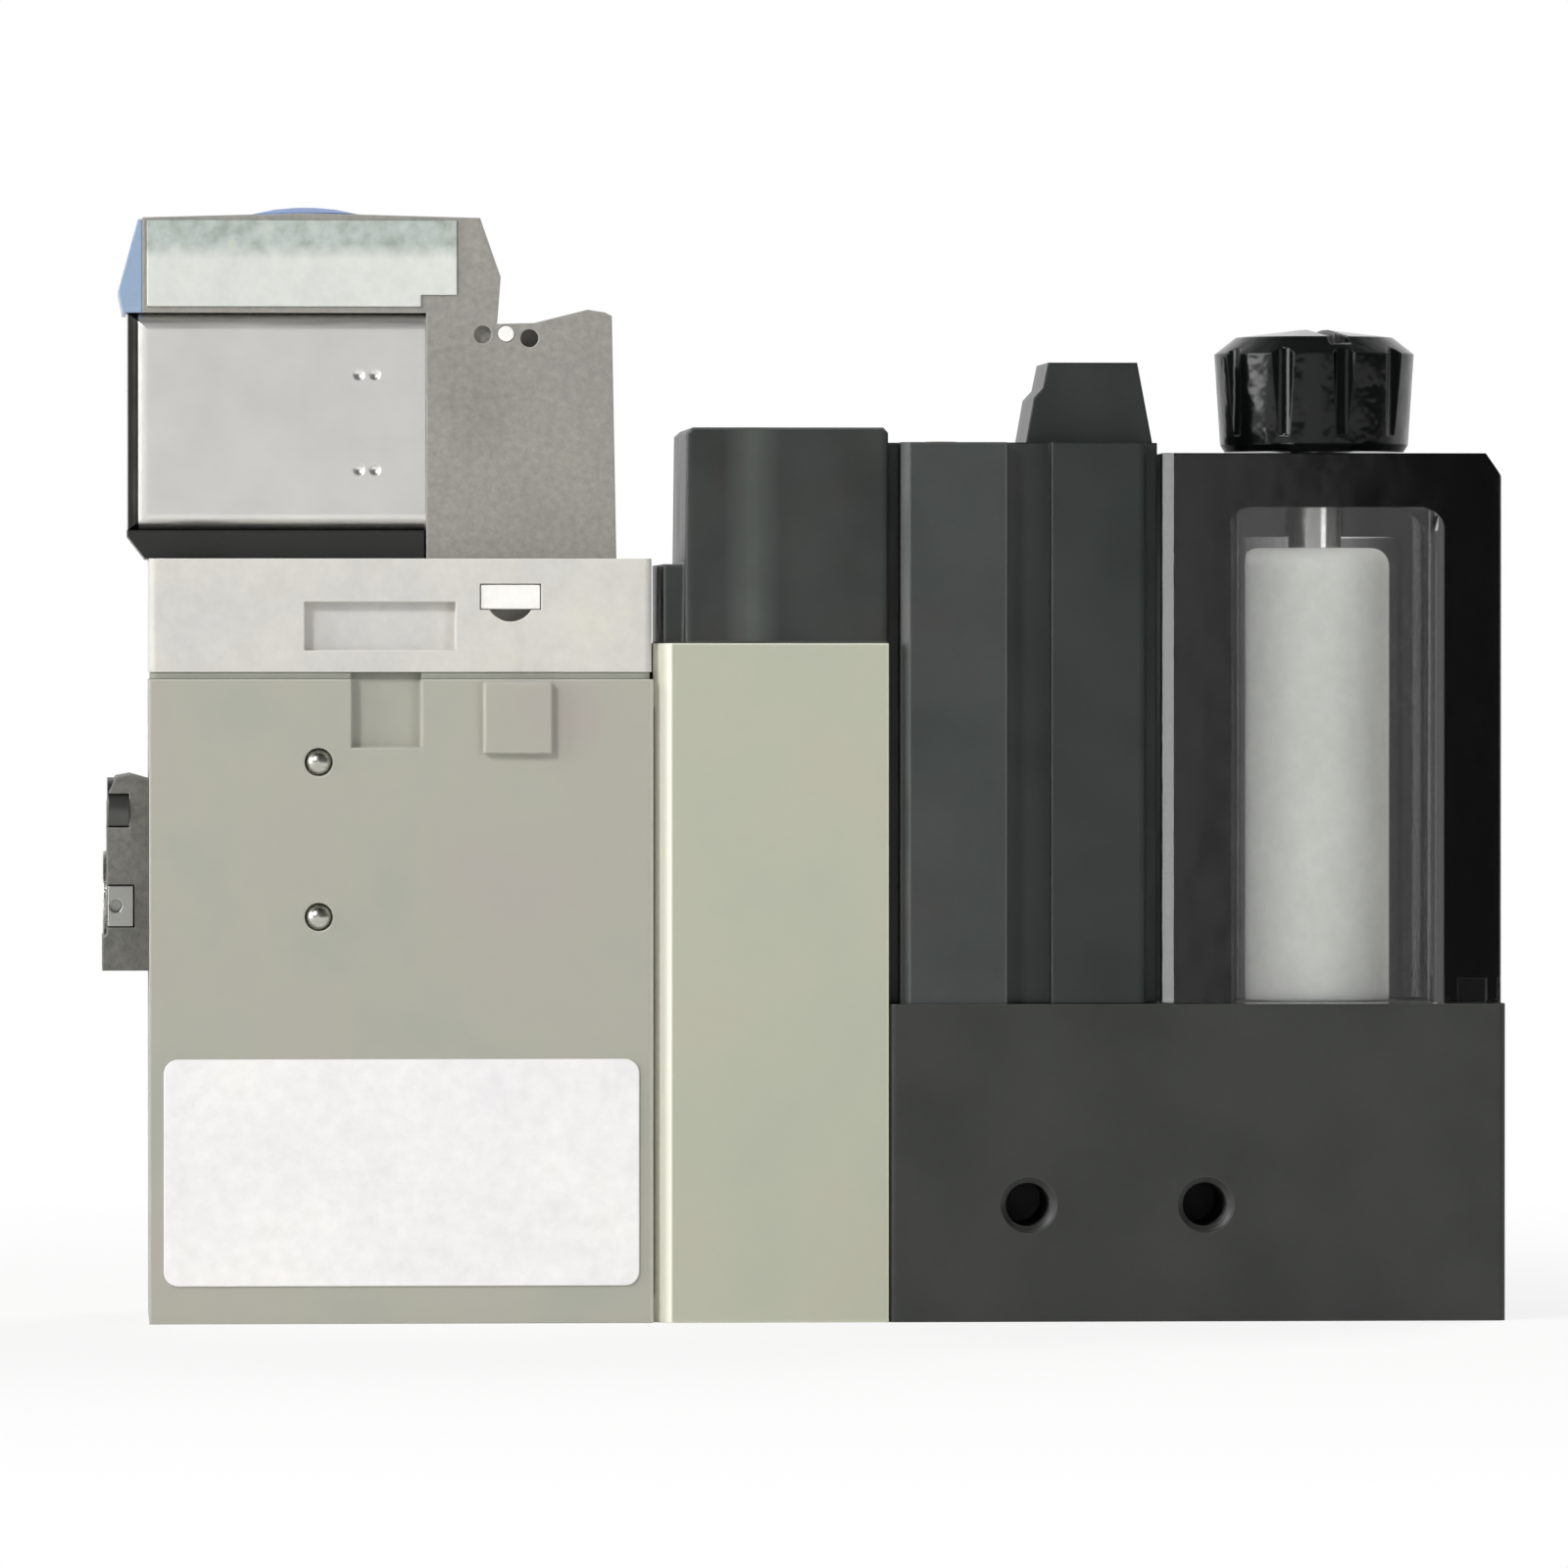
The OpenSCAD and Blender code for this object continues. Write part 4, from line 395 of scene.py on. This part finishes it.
dress(black_zinc, "pilot_screws")
dress(nitrile, "pilot_poppet", "override_ring")
pearl = moulded_plastic("pearl polyester label film", ("#cbcfca", "#d5d8d2", "#dcded8"), grain_mm=0.5, roughness=0.35,
                        bump_height=0.00002, edge_colour="#e8eae6")
pearl_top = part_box("pilot_label")[1][2]  # the band ends 1.3 to 2.2 mm below it
blend_along(pearl, "Z", start=pearl_top - 0.0022, end=pearl_top - 0.0013,
            tints=("#848f88", "#9ba69d", "#a9b3b0", "#b9c1b6"), size_mm=0.9, share=0.8)
dress(pearl, "pilot_label")

# ---------------------------------------------------------------------------
# Solenoid of the pilot valve: a can drawn from steel and nickel plated, with a dark line of painted shade at its left
# end, where its turned edge faces away from the light. In it are a black bobbin wound with enamelled copper wire, a
# fixed iron core and the iron armature.
# ---------------------------------------------------------------------------
nickel = worked_metal("satin nickel plate on drawn steel", ("#f1f0ec", "#f7f6f2", "#fdfbf7"), roughness=0.38,
                      stretch=(0.06, 1, 1), line_mm=0.25, edge_colour="#fbfaf7")
can_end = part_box("solenoid_can")[0][0]  # the dark line is 0.6 mm wide, 0.38 mm in from it
# The dark line is painted shade on the can's left end.
blend_along(nickel, "X", start=0.00034, end=0.00026, tints=("#1d1c1a", "#2a2927"), size_mm=2, line=can_end + 0.00038)
dress(nickel, "solenoid_can")
dress(black_acetal, "coil_bobbin")
dress(worked_metal("enamelled copper wire", ("#93481f", "#a4572c"), roughness=0.3, stretch=(1, 1, 8), line_mm=0.3,
                   bump_height=0.00003), "coil_winding")
dress(worked_metal("machined solenoid iron", ("#8f9091", "#9c9d9e"), roughness=0.35, stretch=(1, 1, 0.2)),
      "fixed_core", "armature")

# ---------------------------------------------------------------------------
# Base: a dark grey nylon manifold, moulded with slight sink marks, that carries the switch and the filter. A rubber
# check disc lies in it, and a brass insert for the filter's bolt is pressed in. Its two fixing holes are tapped M3.
# ---------------------------------------------------------------------------


def tapped_thread(name, mouth, radius_mm, crest_mm, pitch_mm, depth_mm, steps=32):
    """Ridge of an inside thread that runs along +Y from the mouth. At turn t the ridge sits at depth pitch * t, and
    its section goes from (radius, -0.44 pitch) over the flat crest (crest, -0.06 to 0.06 pitch) to (radius, 0.44
    pitch). It runs out into the wall over half a turn at both ends."""
    turns = depth_mm / pitch_mm - 1
    t = np.linspace(0.5, 0.5 + turns, int(turns * steps))
    out = np.minimum(1, np.minimum(t - 0.5, t[-1] - t) * 2)
    section = np.array([(0, -0.44), (1, -0.06), (1, 0.06), (0, 0.44)])
    rise = section[None, :, 0] * out[:, None]
    radius = radius_mm + (crest_mm - radius_mm) * rise
    angle = 2 * np.pi * t[:, None]
    points = np.stack([mouth[0] * 1000 + radius * np.cos(angle),
                       mouth[1] * 1000 + pitch_mm * (t[:, None] + section[None, :, 1] * out[:, None]),
                       mouth[2] * 1000 + radius * np.sin(angle)], axis=2).reshape(-1, 3) / 1000
    row = np.arange(len(t) - 1)[:, None] * 4
    side = np.arange(3)[None, :]
    quads = np.stack([row + side, row + side + 1, row + side + 5, row + side + 4], axis=2).reshape(-1, 4)
    mesh = bpy.data.meshes.new(name)
    mesh.from_pydata(points.tolist(), [], quads.tolist())
    mesh.update()
    piece = bpy.data.objects.new(name, mesh)
    bpy.context.scene.collection.objects.link(piece)
    return piece


nylon = moulded_plastic("dark grey nylon manifold", ("#2a2c29", "#2e302e", "#333431"), edge_colour="#484a48",
                        sink_height=0.0006)
dress(nylon, "base_manifold")
dress(nitrile, "check_disc")
dress(turned_brass, "bolt_insert")
holes = next(mount for mount in frame["record"]["mounts"] if mount["name"] == "fixing_holes")
for side, word in ((-1, "left"), (1, "right")):
    mouth = (holes["pos_m"][0] + side * holes["dims"]["spacing_x_mm"] / 2000, holes["pos_m"][1], holes["pos_m"][2])
    thread = tapped_thread("fixing_thread_" + word, mouth, radius_mm=holes["dims"]["hole_r_mm"] + 0.01,
                           crest_mm=1.23, pitch_mm=0.5, depth_mm=8.5)
    thread.data.materials.append(nylon)
    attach(thread, "housing")

# ---------------------------------------------------------------------------
# Vacuum switch: a charcoal moulding with a lid, closed round a board with a pressure sensor and screwed up from
# below. It is tinted darker from 1 mm left of its front groove to its right end, which also paints shade along the
# groove. A cream trimmer and a red lens sit in its top.
# ---------------------------------------------------------------------------
charcoal = moulded_plastic("charcoal switch housing", ("#323736", "#373c3b", "#3b3a39"), roughness=0.38,
                           edge_colour="#6f7371", radius_mm=0.2, sink_height=0.0006)
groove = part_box("switch_body")[1][0] - 0.0076  # left side of the front groove
# The darker tint starts 1 mm left of the groove, so that the groove's edge and floor carry painted shade.
blend_along(charcoal, "X", start=groove - 0.001, end=groove - 0.0003, tints=("#1f2523", "#232927", "#262826"),
            size_mm=7)
dress(charcoal, "switch_body", "switch_lid")
dress(solder_mask, "switch_board")
dress(zinc_plate, "pressure_sensor")
dress(moulded_plastic("cream trimmer moulding", ("#d6cba4", "#ddd3ae"), roughness=0.3), "setting_trimmer")
dress(moulded_plastic("clear red lens", ("#a82f25", "#b5382c"), roughness=0.12), "switch_lens")

# ---------------------------------------------------------------------------
# Suction filter: a white sintered element round a zinc-plated bolt, which a glossy black fluted knob screws down to
# hold the case on its seal. The case is clear polycarbonate with a smoke tint, injection moulded, so light is lost
# with depth. It casts no shadow, a lighting aid that lets the lamps reach the element undimmed.
# ---------------------------------------------------------------------------
dress(moulded_plastic("sintered polyvinyl formal", ("#d6d8d1", "#dcded7"), grain_mm=0.12, roughness=0.8,
                      bump_height=0.00004, soft_mm=3.5), "filter_element")
dress(worked_metal("bright zinc-plated bolt", ("#c6c6c3", "#d2d2cf"), roughness=0.2, stretch=(1, 1, 0.3)),
      "tension_bolt")
dress(nitrile, "case_seal", "knob_seal")
dress(moulded_plastic("glossy black knob moulding", ("#040606", "#080a0a"), grain_mm=1.6, roughness=0.12,
                      bump_height=0.0002, edge_colour="#1e2221", radius_mm=0.2, specular=0.3), "knob")

smoke, smoke_out = blank("smoked clear polycarbonate")
smoke_coords = add(smoke, "TexCoord").outputs["Object"]
ripple = add(smoke, "TexNoise", {"Vector": smoke_coords, "Scale": 1000 / 3.0, "Detail": 2.0})
ripple_bump = add(smoke, "Bump", {"Strength": 0.15, "Distance": 0.00004, "Height": ripple.outputs["Fac"],
                                  "Normal": add(smoke, "Bevel", {"Radius": 0.0001}, samples=6).outputs[0]})
smoke_skin = add(smoke, "BsdfPrincipled", {"Base Color": (1, 1, 1, 1), "Roughness": 0.04, "IOR": 1.53,
                                           "Transmission Weight": 1.0, "Normal": ripple_bump.outputs[0]})
smoke_depth = add(smoke, "VolumeAbsorption", {"Color": linear("#0d0f0e"), "Density": 520.0})
smoke.node_tree.links.new(smoke_skin.outputs[0], smoke_out.inputs["Surface"])
smoke.node_tree.links.new(smoke_depth.outputs[0], smoke_out.inputs["Volume"])
cad["filter_case"].visible_shadow = False
dress(smoke, "filter_case")

# ---------------------------------------------------------------------------
# Springs: stainless wire wound with closed ends. Each stands between a fixed seat and its moving piece, in the CAD
# spring's place, and is fixed to the housing at that length.
# ---------------------------------------------------------------------------


def coil_spring(name, node, along, wire_mm, turns, steps=24, sides=8):
    """Wire of the given radius around the axis numbered along, in the node's box. Its height above the low end is
    wire at turn 0, 3 wires at turn 1, length - 3 wires at turn n - 1 and length - wire at turn n."""
    low, high = (np.array(corner) * 1000 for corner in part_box(node))
    length, middle = high[along] - low[along], (low + high) / 2
    across = [k for k in range(3) if k != along]
    coil_mm = (high[across[0]] - low[across[0]]) / 2 - wire_mm
    t = np.linspace(0, turns, int(turns * steps) + 1)[:, None]
    height = np.interp(t, [0, 1, turns - 1, turns], [wire_mm, 3 * wire_mm, length - 3 * wire_mm, length - wire_mm])
    round_wire = 2 * np.pi * np.arange(sides)[None, :] / sides
    reach = coil_mm + wire_mm * np.cos(round_wire)
    points = np.zeros((len(t), sides, 3))
    points[..., across[0]] = middle[across[0]] + reach * np.cos(2 * np.pi * t)
    points[..., across[1]] = middle[across[1]] + reach * np.sin(2 * np.pi * t)
    points[..., along] = low[along] + height + wire_mm * np.sin(round_wire)
    row, side = np.arange(len(t) - 1)[:, None] * sides, np.arange(sides)[None, :]
    after = (side + 1) % sides
    quads = np.stack([row + side, row + side + sides, row + after + sides, row + after], axis=2).reshape(-1, 4)
    caps = [list(range(sides)), [(len(t) - 1) * sides + k for k in reversed(range(sides))]]
    mesh = bpy.data.meshes.new(name)
    mesh.from_pydata((points.reshape(-1, 3) / 1000).tolist(), [], quads.tolist() + caps)
    mesh.shade_smooth()
    piece = bpy.data.objects.new(name, mesh)
    bpy.context.scene.collection.objects.link(piece)
    return piece


# Each spring's axis number, wire radius in mm, turns, the joint that presses it, and its fixed end: 0 low, 1 high.
wire_steel = worked_metal("drawn spring wire", ("#bcbec0", "#c8cacc"), roughness=0.25)
springs = {"spool_spring": (0, 0.25, 7.5, "spool_travel", 1), "release_spring": (0, 0.2, 6.5, "release_travel", 1),
           "poppet_spring": (2, 0.15, 4, "armature_stroke", 0), "override_spring": (2, 0.15, 4, "override_press", 0)}
for node, (along, wire_mm, turns, joint, seat) in springs.items():
    coil = coil_spring("wound_" + node, node, along, wire_mm, turns)
    coil.data.materials.append(wire_steel)
    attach(coil, "housing")
    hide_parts(node)
    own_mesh(coil)
